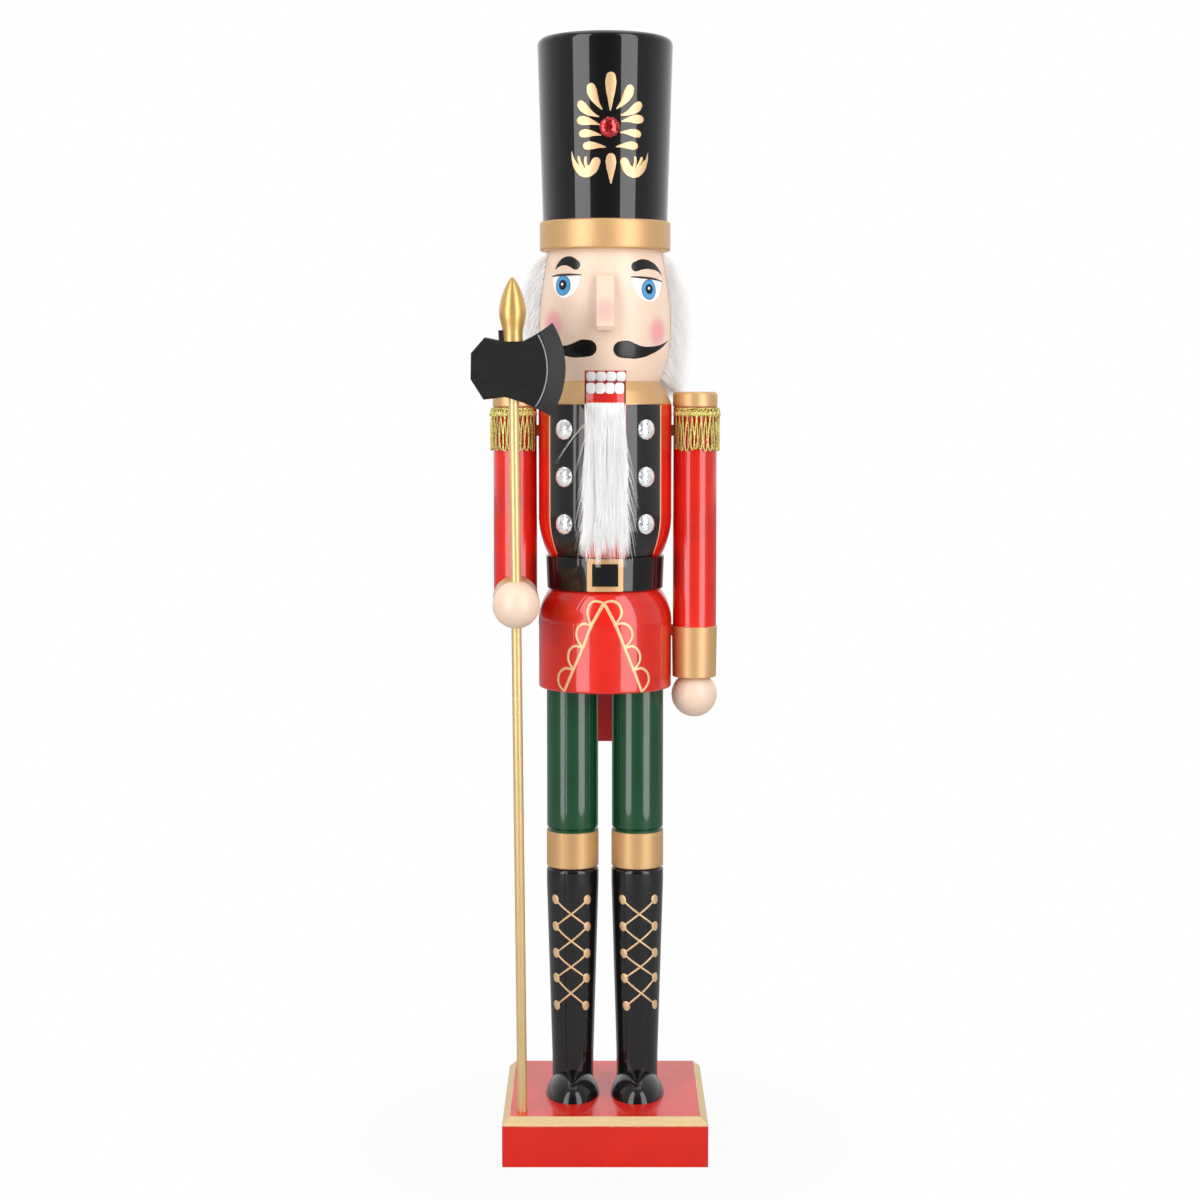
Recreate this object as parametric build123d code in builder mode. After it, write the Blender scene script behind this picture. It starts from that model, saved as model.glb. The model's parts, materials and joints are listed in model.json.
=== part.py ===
"""Tall wooden nutcracker soldier with a lever jaw and a lift-out axe staff.

Every piece is turned, sawn and glued up as on the real figure: a plinth, two legs built from
turned sections on dowels, a turned skirt, a slotted torso with a jaw lever pinned through it, a
turned head and hat, dowelled arms, and a staff that stands in a socket in the plinth and runs
through a hole in the right hand.

Frame: millimetres, +Z up, origin at the centre of the plinth's underside. The figure faces -Y,
so its own left is +X and its own right is -X. Angles round the body are measured from the front,
positive towards its left.
"""

import os
from math import cos, radians, sin

from build123d import *

os.makedirs("parts", exist_ok=True)

# ---------------------------------------------------------------- driving dimensions
PLINTH_SIDE = 112.0
PLINTH_TOP = 27.0
PLINTH_CHAMFER = 4.0
PLINTH_CORNER = 1.2

LEG_X = 18.1  # each leg's axis, left and right of the middle
SHOE_R = 15.2
SHOE_HALF_LENGTH = 22.9
SHOE_Y = -8.4
SHOE_SINK = 1.8  # how far below the plinth's top the egg's own axis lies
SHOE_SEAT = 3.0  # wood left under the boot
ANKLE_R = 11.6
BOOT_R = 14.5
BOOT_TOP = 155.0
KNEE_BAND_TOP = 175.3
TROUSER_R = 14.3
TROUSER_GROOVE = 0.9

SKIRT_BOTTOM = 256.2
SKIRT_R = 36.7
SKIRT_NECK_R = 30.4
WAIST_Z = 311.2  # where the torso stands on the skirt

WAIST_R = 31.0
BELT_BOTTOM_R = 31.9
BELT_TOP_R = 32.6
BELT_TOP = 329.6
BUCKLE_WIDTH = 19.6
BUCKLE_BAR = 2.7
BUCKLE_THICKNESS = 0.9
TORSO_R = 36.7
CHEST_Z = 352.0  # above this the torso is a plain cylinder
SHOULDER_Z = 412.5
COLLAR_R = 36.3
COLLAR_TOP_R = 30.0
HEAD_BOTTOM = 424.7
HEAD_BOTTOM_R = 29.4
HEAD_TOP = 495.5
HEAD_TOP_R = 30.8
HAT_BAND_R = 35.7
HAT_BAND_TOP = 511.4
HAT_R = 34.0  # at the band
HAT_TOP_R = 36.8
HAT_TOP = 609.6

ARM_X = 49.6  # each arm's axis, left and right of the middle
ARM_R = 12.0
ARM_TOP = 410.6
CAP_R = 12.3
CAP_TOP = 419.2
CUFF_LENGTH = 28.3
CUFF_R = 12.5  # at the arm; it narrows a little towards the hand
CUFF_HAND_R = 12.1
HAND_R = 12.6
HAND_FLAT = 10.0  # hand centre to the flat that meets the cuff
LEFT_CUFF_TOP = 290.0
ELBOW_Z = 307.0
HAND_RIGHT = Vector(-47.2, -58.0, ELBOW_Z)
SHOULDER_PEG_Z = 398.0
SHOULDER_PEG_INNER_X = 26.0  # the dowel's end inside the torso

SLOT_WIDTH = 22.0
SLOT_FLOOR = 343.4
LEVER_WIDTH = 20.6
LEVER_TOP = 424.3
LEVER_PIVOT_Z = 352.0
PIN_R = 1.5
TAIL_FRONT_Y = 38.7
TAIL_BACK_Y = 46.7
TAIL_BOTTOM = 219.0

STAFF_R = 2.7
STAFF_FOOT = Vector(-45.3, -41.8, PLINTH_TOP)
SOCKET_DEPTH = 6.0
POLE_LENGTH = 431.0  # above the plinth
FREE_GAP = 0.08  # radial play of the staff in its holes
AXE_THICKNESS = 8.0
FINIAL_BOTTOM = 419.4  # along the staff, above the plinth

PEG_R = 4.0
SMALL_PEG_R = 3.0
GLUE_GAP = 0.03  # room for glue round a dowel

GEM_R = 5.5
GEM_HEIGHT = 3.0
COAT_GEM_ANGLE = 36.8
COAT_GEM_ZS = (348.0, 373.5, 399.0)
HAT_GEM_Z = 558.8
HAT_GEM_ANGLE = 3.6  # the hat is glued on turned a little to the figure's left

FRINGE_R = 14.0
FRINGE_BOTTOM = 386.5
FRINGE_TOP = 410.4
FRINGE_CUT_R = 38.0  # the fringe stops where the arm lies against the torso

HAIR_R = 46.0
HAIR_INNER_R = 37.2
HAIR_BOTTOM = 421.0
HAIR_TOP = 494.0

UP = Vector(0, 0, 1)
SIDES = {"left": 1, "right": -1}


# ---------------------------------------------------------------- shared steps
def finish(builder, label):
    """Names a finished piece, writes it to its own file and prints its volume."""
    builder.part.label = label
    export_step(builder.part, f"parts/{label}.step")
    print(f"{label:22s} {len(builder.part.solids())} solid {builder.part.volume:10.1f} mm3")


def turn(outline, x=0.0, mode=Mode.ADD):
    """Turns an outline of (radius, height) points about the vertical axis through (x, 0)."""
    with BuildSketch(Plane(origin=(x, 0, 0), x_dir=(1, 0, 0), z_dir=(0, -1, 0))) as profile:
        with BuildLine():
            Polyline((0, outline[0][1]), *outline, (0, outline[-1][1]), close=True)
        make_face()
    revolve(profile.sketch, axis=Axis((x, 0, 0), (0, 0, 1)), mode=mode)


def bore(start, direction, length, radius):
    """Cuts a round hole from start along direction in the part being built."""
    with BuildSketch(Plane(origin=start, z_dir=direction)) as mouth:
        Circle(radius)
    extrude(mouth.sketch, amount=length, mode=Mode.SUBTRACT)


def peg_hole(start, direction, length, radius=PEG_R):
    """Cuts a dowel's hole, a little wider and deeper than the dowel."""
    bore(start, direction, length + 0.5, radius + GLUE_GAP)


def peg(label, start, direction, length, radius=PEG_R):
    """A hardwood dowel with bevelled ends."""
    with BuildPart() as dowel:
        with BuildSketch(Plane(origin=start, z_dir=direction)):
            Circle(radius)
        extrude(amount=length)
        chamfer(dowel.edges().filter_by(GeomType.CIRCLE), 0.5)
    finish(dowel, label)


def round_edges(builder, z):
    """The circular edges of a part that lie at height z, the widest last."""
    circles = builder.edges().filter_by(GeomType.CIRCLE)
    return circles.filter_by(lambda edge: abs(edge.center().Z - z) < 0.01).sort_by(SortBy.RADIUS)


def around(angle, radius, z):
    """A plane facing outwards at an angle round the body, a radius and a height."""
    outward = Vector(sin(radians(angle)), -cos(radians(angle)), 0)
    return Plane(origin=outward * radius + Vector(0, 0, z), z_dir=outward)


# ---------------------------------------------------------------- plinth
staff_direction = (HAND_RIGHT - STAFF_FOOT).normalized()

with BuildPart() as plinth:
    with BuildSketch():
        Rectangle(PLINTH_SIDE, PLINTH_SIDE)
    extrude(amount=PLINTH_TOP)
    chamfer(plinth.faces().sort_by(Axis.Z)[-1].edges(), PLINTH_CHAMFER)
    corners = plinth.edges().filter_by(lambda edge: edge.length > 5 and abs(edge.tangent_at(0).Z) > 0.5)
    fillet(corners, PLINTH_CORNER)
    for side in SIDES.values():
        peg_hole(Vector(side * LEG_X, 0, PLINTH_TOP), -UP, 14)
    bore(STAFF_FOOT - staff_direction * SOCKET_DEPTH, staff_direction, 20, STAFF_R + FREE_GAP)
finish(plinth, "plinth")

# ---------------------------------------------------------------- legs
BOOT_BOTTOM = PLINTH_TOP + SHOE_SEAT
GROOVE_Z = KNEE_BAND_TOP + 1.6

for name, side in SIDES.items():
    leg_x = side * LEG_X

    # a turned egg, sawn flat underneath and bored for the boot
    with BuildPart() as shoe:
        with BuildSketch(Plane(origin=(leg_x, SHOE_Y, PLINTH_TOP - SHOE_SINK))):
            Ellipse(SHOE_R, SHOE_HALF_LENGTH)
            with Locations((-SHOE_R, 0)):
                Rectangle(2 * SHOE_R, 2 * SHOE_HALF_LENGTH, mode=Mode.SUBTRACT)
        revolve(axis=Axis((leg_x, 0, PLINTH_TOP - SHOE_SINK), (0, 1, 0)))
        split(bisect_by=Plane.XY.offset(PLINTH_TOP), keep=Keep.TOP)
        bore(Vector(leg_x, 0, BOOT_BOTTOM), UP, 40, ANKLE_R + 0.05)
        bore(Vector(leg_x, 0, PLINTH_TOP), UP, 10, PEG_R + GLUE_GAP)
    finish(shoe, f"shoe_{name}")

    with BuildPart() as boot:
        turn([(ANKLE_R, BOOT_BOTTOM), (ANKLE_R, 47), (BOOT_R, 146), (BOOT_R, BOOT_TOP)], leg_x)
        fillet(round_edges(boot, BOOT_TOP), 2.4)
        peg_hole(Vector(leg_x, 0, BOOT_BOTTOM), UP, 20)
        peg_hole(Vector(leg_x, 0, BOOT_TOP), -UP, 15)
    finish(boot, f"boot_{name}")

    with BuildPart() as knee_band:
        turn([(BOOT_R, BOOT_TOP), (BOOT_R, KNEE_BAND_TOP)], leg_x)
        chamfer(round_edges(knee_band, BOOT_TOP), 0.6)
        chamfer(round_edges(knee_band, KNEE_BAND_TOP), 0.3)
        bore(Vector(leg_x, 0, BOOT_TOP), UP, 30, PEG_R + GLUE_GAP)
    finish(knee_band, f"knee_band_{name}")

    # a V groove runs round the leg just above the knee band
    with BuildPart() as trouser_leg:
        turn(
            [
                (TROUSER_R, KNEE_BAND_TOP),
                (TROUSER_R, GROOVE_Z - TROUSER_GROOVE),
                (TROUSER_R - TROUSER_GROOVE, GROOVE_Z),
                (TROUSER_R, GROOVE_Z + TROUSER_GROOVE),
                (TROUSER_R, SKIRT_BOTTOM),
            ],
            leg_x,
        )
        peg_hole(Vector(leg_x, 0, KNEE_BAND_TOP), UP, 15)
        peg_hole(Vector(leg_x, 0, SKIRT_BOTTOM), -UP, 15)
    finish(trouser_leg, f"trouser_leg_{name}")

    peg(f"ankle_peg_{name}", Vector(leg_x, 0, PLINTH_TOP - 14), UP, 14 + SHOE_SEAT + 20)
    peg(f"knee_peg_{name}", Vector(leg_x, 0, BOOT_TOP - 15), UP, KNEE_BAND_TOP - BOOT_TOP + 30)
    peg(f"hip_peg_{name}", Vector(leg_x, 0, SKIRT_BOTTOM - 15), UP, 30)

# ---------------------------------------------------------------- skirt
WAIST_PEG_R = 6.0
WAIST_PEG_DEPTH = 12.0

with BuildPart() as skirt:
    with BuildSketch(Plane.XZ):
        with BuildLine():
            Polyline((0, SKIRT_BOTTOM), (SKIRT_R, SKIRT_BOTTOM), (SKIRT_R, 289))
            ThreePointArc((SKIRT_R, 289), (35.3, 302), (SKIRT_NECK_R, WAIST_Z))
            Polyline((SKIRT_NECK_R, WAIST_Z), (0, WAIST_Z), (0, SKIRT_BOTTOM))
        make_face()
    revolve(axis=Axis.Z)
    fillet(round_edges(skirt, SKIRT_BOTTOM), 1.2)
    for side in SIDES.values():
        peg_hole(Vector(side * LEG_X, 0, SKIRT_BOTTOM), UP, 15)
    peg_hole(Vector(0, 0, WAIST_Z), -UP, WAIST_PEG_DEPTH, WAIST_PEG_R)
finish(skirt, "skirt")
peg("waist_peg", Vector(0, 0, WAIST_Z - WAIST_PEG_DEPTH), UP, 2 * WAIST_PEG_DEPTH, WAIST_PEG_R)

# ---------------------------------------------------------------- torso
NECK_PEG_X = 19.5
NECK_PEG_Y = 6.0
NECK_PEG_BOTTOM = 404.0
NECK_PEG_LENGTH = 32.0

with BuildPart() as torso:
    with BuildSketch(Plane.XZ):
        with BuildLine():
            Polyline((0, BELT_TOP), (WAIST_R + 0.2, BELT_TOP))
            TangentArc((TORSO_R, CHEST_Z), (WAIST_R + 0.2, BELT_TOP), tangent=(0, -1))
            Polyline((TORSO_R, CHEST_Z), (TORSO_R, SHOULDER_Z), (0, SHOULDER_Z), (0, BELT_TOP))
        make_face()
    revolve(axis=Axis.Z)
    turn([(WAIST_R, WAIST_Z), (WAIST_R, BELT_TOP)])
    # sawn right through from front to back, open at the top, for the jaw lever
    with BuildSketch(Plane.XY.offset(SLOT_FLOOR)):
        Rectangle(SLOT_WIDTH, 3 * TORSO_R)
    extrude(amount=100, mode=Mode.SUBTRACT)
    bore(Vector(-50, 0, LEVER_PIVOT_Z), Vector(1, 0, 0), 100, PIN_R + 0.02)
    peg_hole(Vector(0, 0, WAIST_Z), UP, WAIST_PEG_DEPTH, WAIST_PEG_R)
    for side in SIDES.values():
        bore(Vector(side * NECK_PEG_X, NECK_PEG_Y, NECK_PEG_BOTTOM - 0.5), UP, 30, SMALL_PEG_R + GLUE_GAP)
        peg_hole(Vector(side * SHOULDER_PEG_INNER_X, 0, SHOULDER_PEG_Z), Vector(side, 0, 0), 20, SMALL_PEG_R)
finish(torso, "torso")

# ---------------------------------------------------------------- belt and buckle
BELT_BOTTOM = WAIST_Z + 0.1
BUCKLE_MIDDLE = (BELT_BOTTOM + BELT_TOP) / 2

with BuildPart() as belt:
    turn([(BELT_BOTTOM_R, BELT_BOTTOM), (BELT_TOP_R, BELT_TOP - 0.1)])
    fillet(belt.edges().filter_by(GeomType.CIRCLE), 0.5)
    bore(Vector(0, 0, BELT_BOTTOM - 5), UP, 40, WAIST_R + 0.03)
finish(belt, "belt")

# a square frame bent round the belt
with BuildPart() as belt_buckle:
    with BuildSketch(Plane.XZ.offset(BELT_BOTTOM_R - 10)):
        with Locations((0, BUCKLE_MIDDLE)):
            RectangleRounded(BUCKLE_WIDTH, BELT_TOP - BELT_BOTTOM - 0.6, 0.7)
            opening_height = BELT_TOP - BELT_BOTTOM - 0.6 - 2 * BUCKLE_BAR
            Rectangle(BUCKLE_WIDTH - 2 * BUCKLE_BAR, opening_height, mode=Mode.SUBTRACT)
    extrude(amount=20)
    outer_r = BELT_TOP_R + BUCKLE_THICKNESS
    turn([(outer_r - 0.7, BELT_BOTTOM), (outer_r, BELT_TOP)], mode=Mode.INTERSECT)
    turn([(BELT_BOTTOM_R + 0.01, BELT_BOTTOM - 0.1), (BELT_TOP_R + 0.02, BELT_TOP)], mode=Mode.SUBTRACT)
finish(belt_buckle, "belt_buckle")

# ---------------------------------------------------------------- collar
COLLAR_OUTLINE = [
    (COLLAR_R, SHOULDER_Z),
    (COLLAR_R, SHOULDER_Z + 0.8),
    (33.4, 419.6),
    (COLLAR_TOP_R, HEAD_BOTTOM),
]
COLLAR_NOTCH_Y = 12.0  # how far back the gap for the jaw reaches

with BuildPart() as collar:
    turn(COLLAR_OUTLINE)
    with BuildSketch(Plane.XY.offset(SHOULDER_Z)):
        with Locations((0, COLLAR_NOTCH_Y - 30)):
            Rectangle(SLOT_WIDTH, 60)
    extrude(amount=40, mode=Mode.SUBTRACT)
    for side in SIDES.values():
        bore(Vector(side * NECK_PEG_X, NECK_PEG_Y, SHOULDER_Z - 1), UP, 30, SMALL_PEG_R + GLUE_GAP)
finish(collar, "collar")

# ---------------------------------------------------------------- jaw lever
# side outline in (Y, Z): jaw block in front, pivot in the middle, arm and tail at the back
LEVER_OUTLINE = [
    (-60, LEVER_TOP),
    (-22, LEVER_TOP),
    (-20, 402),
    (-6, 374),
    (8, 366),
    (36, 366),
    (TAIL_BACK_Y, 356),
    (TAIL_BACK_Y, TAIL_BOTTOM),
    (TAIL_FRONT_Y, TAIL_BOTTOM),
    (TAIL_FRONT_Y, 342),
    (34, 346),
    (0, 346),
    (-TORSO_R, 354.4),
    (-60, 354.4),
]
LEVER_GAP = 0.02

with BuildPart() as jaw_lever:
    with BuildSketch(Plane.YZ):
        with BuildLine():
            Polyline(*LEVER_OUTLINE, close=True)
        make_face()
    extrude(amount=LEVER_WIDTH / 2, both=True)
    # the jaw's face is turned flush with the torso and the collar, as one curve
    with BuildSketch(Plane.XZ) as face_outline:
        with BuildLine():
            Polyline(
                (0, 0),
                (TORSO_R, 0),
                (TORSO_R, SHOULDER_Z),
                COLLAR_OUTLINE[1],
                COLLAR_OUTLINE[2],
                COLLAR_OUTLINE[3],
                (0, HEAD_BOTTOM),
                close=True,
            )
        make_face()
    with BuildPart(mode=Mode.PRIVATE) as figure_front:
        revolve(face_outline.sketch, axis=Axis.Z)
        with BuildSketch(Plane.XY):
            with Locations((0, 100)):
                Rectangle(200, 200)
        extrude(amount=500)
    add(figure_front.part, mode=Mode.INTERSECT)
    bore(Vector(-50, 0, LEVER_PIVOT_Z), Vector(1, 0, 0), 100, PIN_R + LEVER_GAP)
finish(jaw_lever, "jaw_lever")

peg("lever_pin", Vector(-35.2, 0, LEVER_PIVOT_Z), Vector(1, 0, 0), 70.4, PIN_R)

# beard: a soft fur panel glued to the jaw's face; it stands away from the belt lower down
BEARD_TOP = 413.9
BEARD_BOTTOM = 331.0
BEARD_TOP_WIDTH = 20.4
BEARD_BOTTOM_WIDTH = 27.5
BEARD_PROFILE = [
    (-36.8, BEARD_TOP),
    (-36.8, 372),
    (-38.0, CHEST_Z),
    (-41.2, BEARD_BOTTOM),
    (-45.5, BEARD_BOTTOM),
    (-48.0, 352),
    (-47.0, 395),
    (-41.0, BEARD_TOP),
]

with BuildPart() as beard:
    with BuildSketch(Plane.YZ):
        with BuildLine():
            Polyline(*BEARD_PROFILE, close=True)
        make_face()
    extrude(amount=BEARD_BOTTOM_WIDTH / 2, both=True)
    with BuildSketch(Plane.XZ):
        with BuildLine():
            Polyline(
                (-BEARD_TOP_WIDTH / 2, BEARD_TOP),
                (BEARD_TOP_WIDTH / 2, BEARD_TOP),
                (BEARD_BOTTOM_WIDTH / 2, BEARD_BOTTOM),
                (-BEARD_BOTTOM_WIDTH / 2, BEARD_BOTTOM),
                close=True,
            )
        make_face()
    extrude(amount=80, both=True, mode=Mode.INTERSECT)
finish(beard, "beard")

# ---------------------------------------------------------------- head
NOSE_WIDTH = 9.8
NOSE_TOP = 481.0
NOSE_BOTTOM = 452.0
NOSE_TIP_Y = -45.0
HAT_PEG_R = 5.0

with BuildPart() as head:
    with BuildSketch(Plane.XZ):
        with BuildLine():
            cheek = Spline(
                (HEAD_BOTTOM_R, HEAD_BOTTOM),
                (33.2, 433.3),
                (35.5, 444.5),
                (36.0, 456),
                (35.2, 469),
                (HEAD_TOP_R, HEAD_TOP),
            )
            Polyline(cheek @ 1, (0, HEAD_TOP), (0, HEAD_BOTTOM), cheek @ 0)
        make_face()
    revolve(axis=Axis.Z)
    peg_hole(Vector(0, 0, HEAD_TOP), -UP, 15, HAT_PEG_R)
    for side in SIDES.values():
        peg_hole(Vector(side * NECK_PEG_X, NECK_PEG_Y, HEAD_BOTTOM), UP, 11.3, SMALL_PEG_R)
finish(head, "head")

# a wedge sawn from strip and let into a flat on the head
NOSE_SEAT_Y = -34.0
with BuildPart() as nose:
    with BuildSketch(Plane.YZ):
        with BuildLine():
            Polyline(
                (NOSE_SEAT_Y, NOSE_BOTTOM),
                (NOSE_TIP_Y + 1.5, NOSE_BOTTOM),
                (NOSE_TIP_Y, NOSE_BOTTOM + 2),
                (NOSE_TIP_Y + 0.4, NOSE_BOTTOM + 8),
                (-36.8, NOSE_TOP),
                (NOSE_SEAT_Y, NOSE_TOP),
                close=True,
            )
        make_face()
    extrude(amount=NOSE_WIDTH / 2, both=True)
    side_edges = nose.edges().filter_by(lambda edge: abs(edge.center().X) > 1)
    fillet(side_edges.filter_by(lambda edge: edge.center().Y < NOSE_SEAT_Y - 4), 1.1)
    add(head.part, mode=Mode.SUBTRACT)
finish(nose, "nose")

for name, side in SIDES.items():
    start = Vector(side * NECK_PEG_X, NECK_PEG_Y, NECK_PEG_BOTTOM)
    peg(f"neck_peg_{name}", start, UP, NECK_PEG_LENGTH, SMALL_PEG_R)

# hair: a soft fur band glued round the sides and back of the head
with BuildPart() as hair:
    with BuildSketch(Plane.XY.offset(HAIR_BOTTOM)):
        Circle(HAIR_R)
        Circle(HAIR_INNER_R, mode=Mode.SUBTRACT)
        with Locations((0, -50)):
            Rectangle(120, 100, mode=Mode.SUBTRACT)
    extrude(amount=HAIR_TOP - HAIR_BOTTOM)
    fillet(hair.edges().filter_by(GeomType.CIRCLE).filter_by(lambda edge: edge.radius > HAIR_R - 1), 5)
finish(hair, "hair")

# ---------------------------------------------------------------- hat
with BuildPart() as hat_band:
    turn([(HAT_BAND_R, HEAD_TOP), (HAT_BAND_R, HAT_BAND_TOP)])
    fillet(round_edges(hat_band, HEAD_TOP), 1.4)
    fillet(round_edges(hat_band, HAT_BAND_TOP), 1.4)
    bore(Vector(0, 0, HEAD_TOP - 1), UP, 40, HAT_PEG_R + GLUE_GAP)
finish(hat_band, "hat_band")

with BuildPart() as hat_crown:
    turn([(HAT_R, HAT_BAND_TOP), (HAT_TOP_R, HAT_TOP - 4), (HAT_TOP_R, HAT_TOP)])
    fillet(round_edges(hat_crown, HAT_TOP), 3.8)
    peg_hole(Vector(0, 0, HAT_BAND_TOP), UP, 18, HAT_PEG_R)
finish(hat_crown, "hat_crown")
peg("hat_peg", Vector(0, 0, HEAD_TOP - 15), UP, 15 + HAT_BAND_TOP - HEAD_TOP + 18, HAT_PEG_R)

# ---------------------------------------------------------------- glued stones
hat_r_at_gem = HAT_R + (HAT_TOP_R - HAT_R) * (HAT_GEM_Z - HAT_BAND_TOP) / (HAT_TOP - 4 - HAT_BAND_TOP)
GEM_GIRDLE = 1.0
GEM_TAPER = 38


def stone(seat):
    """Adds one round stone to the part being built: a short girdle and a tapered crown."""
    with BuildSketch(seat) as girdle:
        Circle(GEM_R)
    extrude(girdle.sketch, amount=GEM_GIRDLE)
    with BuildSketch(seat.offset(GEM_GIRDLE)) as crown:
        Circle(GEM_R)
    extrude(crown.sketch, amount=GEM_HEIGHT - GEM_GIRDLE, taper=GEM_TAPER)


with BuildPart() as hat_gem:
    stone(around(HAT_GEM_ANGLE, hat_r_at_gem + 0.25, HAT_GEM_Z))
finish(hat_gem, "hat_gem")

with BuildPart() as coat_gems:
    for side in SIDES.values():
        for gem_z in COAT_GEM_ZS:
            stone(around(side * COAT_GEM_ANGLE, TORSO_R + 0.05, gem_z))
finish(coat_gems, "coat_gems")

# ---------------------------------------------------------------- arms
elbow = Vector(-ARM_X, 0, ELBOW_Z)
forearm_direction = Vector(HAND_RIGHT.X + ARM_X, HAND_RIGHT.Y, 0).normalized()
mitre_direction = (forearm_direction - UP).normalized()
FOREARM_LENGTH = (HAND_RIGHT - elbow).length - HAND_FLAT - CUFF_LENGTH
WRIST_PEG_LENGTH = CUFF_LENGTH + 15


def hand(label, centre, outward, hole=None):
    """A turned ball, flattened where it meets the cuff and drilled for the wrist dowel."""
    with BuildPart() as ball:
        with BuildSketch(Plane(origin=centre, z_dir=outward)) as disc:
            Circle(HAND_R)
            with Locations((-HAND_R, 0)):
                Rectangle(2 * HAND_R, 2 * HAND_R, mode=Mode.SUBTRACT)
        revolve(disc.sketch, axis=Axis(centre, Plane(origin=centre, z_dir=outward).y_dir))
        split(bisect_by=Plane(origin=centre - outward * HAND_FLAT, z_dir=outward), keep=Keep.TOP)
        peg_hole(centre - outward * HAND_FLAT, outward, 5, SMALL_PEG_R)
        if hole:
            bore(centre - hole * 20, hole, 40, STAFF_R + FREE_GAP)
    finish(ball, label)


def cuff(label, start, outward):
    """A tapered band between the arm and the hand."""
    with BuildPart() as band:
        with BuildSketch(Plane(origin=start, z_dir=outward)):
            Circle(CUFF_R)
        with BuildSketch(Plane(origin=start + outward * CUFF_LENGTH, z_dir=outward)):
            Circle(CUFF_HAND_R)
        loft()
        fillet(band.edges().filter_by(GeomType.CIRCLE), 0.5)
        bore(start - outward, outward, CUFF_LENGTH + 2, SMALL_PEG_R + GLUE_GAP)
    finish(band, label)


# left arm: hangs straight down
with BuildPart() as arm_left:
    turn([(ARM_R, LEFT_CUFF_TOP), (ARM_R, ARM_TOP)], ARM_X)
    bore(Vector(ARM_X - 20, 0, SHOULDER_PEG_Z), Vector(1, 0, 0), 26, SMALL_PEG_R + GLUE_GAP)
    peg_hole(Vector(ARM_X, 0, LEFT_CUFF_TOP), UP, 10, SMALL_PEG_R)
finish(arm_left, "arm_left")

left_hand_centre = Vector(ARM_X, 0, LEFT_CUFF_TOP - CUFF_LENGTH - HAND_FLAT)
cuff("cuff_left", Vector(ARM_X, 0, LEFT_CUFF_TOP), -UP)
hand("hand_left", left_hand_centre, -UP)
peg("wrist_peg_left", left_hand_centre + UP * (HAND_FLAT - 5), UP, WRIST_PEG_LENGTH, SMALL_PEG_R)

# right arm: bent forwards at the elbow, two cylinders on one mitre
with BuildPart() as upper_arm_right:
    turn([(ARM_R, ELBOW_Z - 20), (ARM_R, ARM_TOP)], -ARM_X)
    split(bisect_by=Plane(origin=elbow, z_dir=mitre_direction), keep=Keep.BOTTOM)
    bore(Vector(20 - ARM_X, 0, SHOULDER_PEG_Z), Vector(-1, 0, 0), 26, SMALL_PEG_R + GLUE_GAP)
    peg_hole(elbow, -mitre_direction, 10, SMALL_PEG_R)
finish(upper_arm_right, "upper_arm_right")

with BuildPart() as forearm_right:
    with BuildSketch(Plane(origin=elbow - forearm_direction * 20, z_dir=forearm_direction)):
        Circle(ARM_R)
    extrude(amount=FOREARM_LENGTH + 20)
    split(bisect_by=Plane(origin=elbow, z_dir=mitre_direction), keep=Keep.TOP)
    peg_hole(elbow, mitre_direction, 10, SMALL_PEG_R)
    peg_hole(elbow + forearm_direction * FOREARM_LENGTH, -forearm_direction, 10, SMALL_PEG_R)
finish(forearm_right, "forearm_right")

peg("elbow_peg", elbow - mitre_direction * 10, mitre_direction, 20, SMALL_PEG_R)
cuff("cuff_right", elbow + forearm_direction * FOREARM_LENGTH, forearm_direction)
hand("hand_right", HAND_RIGHT, forearm_direction, staff_direction)
wrist_start = HAND_RIGHT - forearm_direction * (HAND_FLAT - 5)
peg("wrist_peg_right", wrist_start, -forearm_direction, WRIST_PEG_LENGTH, SMALL_PEG_R)

for name, side in SIDES.items():
    inner_end = Vector(side * SHOULDER_PEG_INNER_X, 0, SHOULDER_PEG_Z)
    shoulder_peg_length = ARM_X + 5 - SHOULDER_PEG_INNER_X
    peg(f"shoulder_peg_{name}", inner_end, Vector(side, 0, 0), shoulder_peg_length, SMALL_PEG_R)

    with BuildPart() as shoulder_cap:
        turn([(CAP_R, ARM_TOP), (CAP_R, CAP_TOP)], side * ARM_X)
        fillet(round_edges(shoulder_cap, CAP_TOP), 2.2)
        fillet(round_edges(shoulder_cap, ARM_TOP), 1.2)
    finish(shoulder_cap, f"shoulder_cap_{name}")

    # looped cord fringe wound round the arm, held out as one soft ring
    with BuildPart() as fringe:
        turn([(FRINGE_R, FRINGE_BOTTOM), (FRINGE_R, FRINGE_TOP)], side * ARM_X)
        bore(Vector(side * ARM_X, 0, FRINGE_BOTTOM - 5), UP, 50, ARM_R + 0.05)
        bore(Vector(0, 0, FRINGE_BOTTOM - 5), UP, 50, FRINGE_CUT_R)
    finish(fringe, f"shoulder_fringe_{name}")

# ---------------------------------------------------------------- staff with its axe head
# the staff's own plane: its X runs to the figure's left, its Y up the pole and its Z forwards
staff_forwards = Vector(1, 0, 0).cross(staff_direction).normalized()
staff_plane = Plane(origin=STAFF_FOOT, x_dir=staff_direction.cross(staff_forwards), z_dir=staff_forwards)

SOCKET_END_GAP = 0.3
pole_start = STAFF_FOOT - staff_direction * (SOCKET_DEPTH - SOCKET_END_GAP)

with BuildPart() as staff_pole:
    with BuildSketch(Plane(origin=pole_start, z_dir=staff_direction)):
        Circle(STAFF_R)
    extrude(amount=POLE_LENGTH + SOCKET_DEPTH)
    chamfer(staff_pole.edges().filter_by(GeomType.CIRCLE), 0.5)
finish(staff_pole, "staff_pole")

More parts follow.
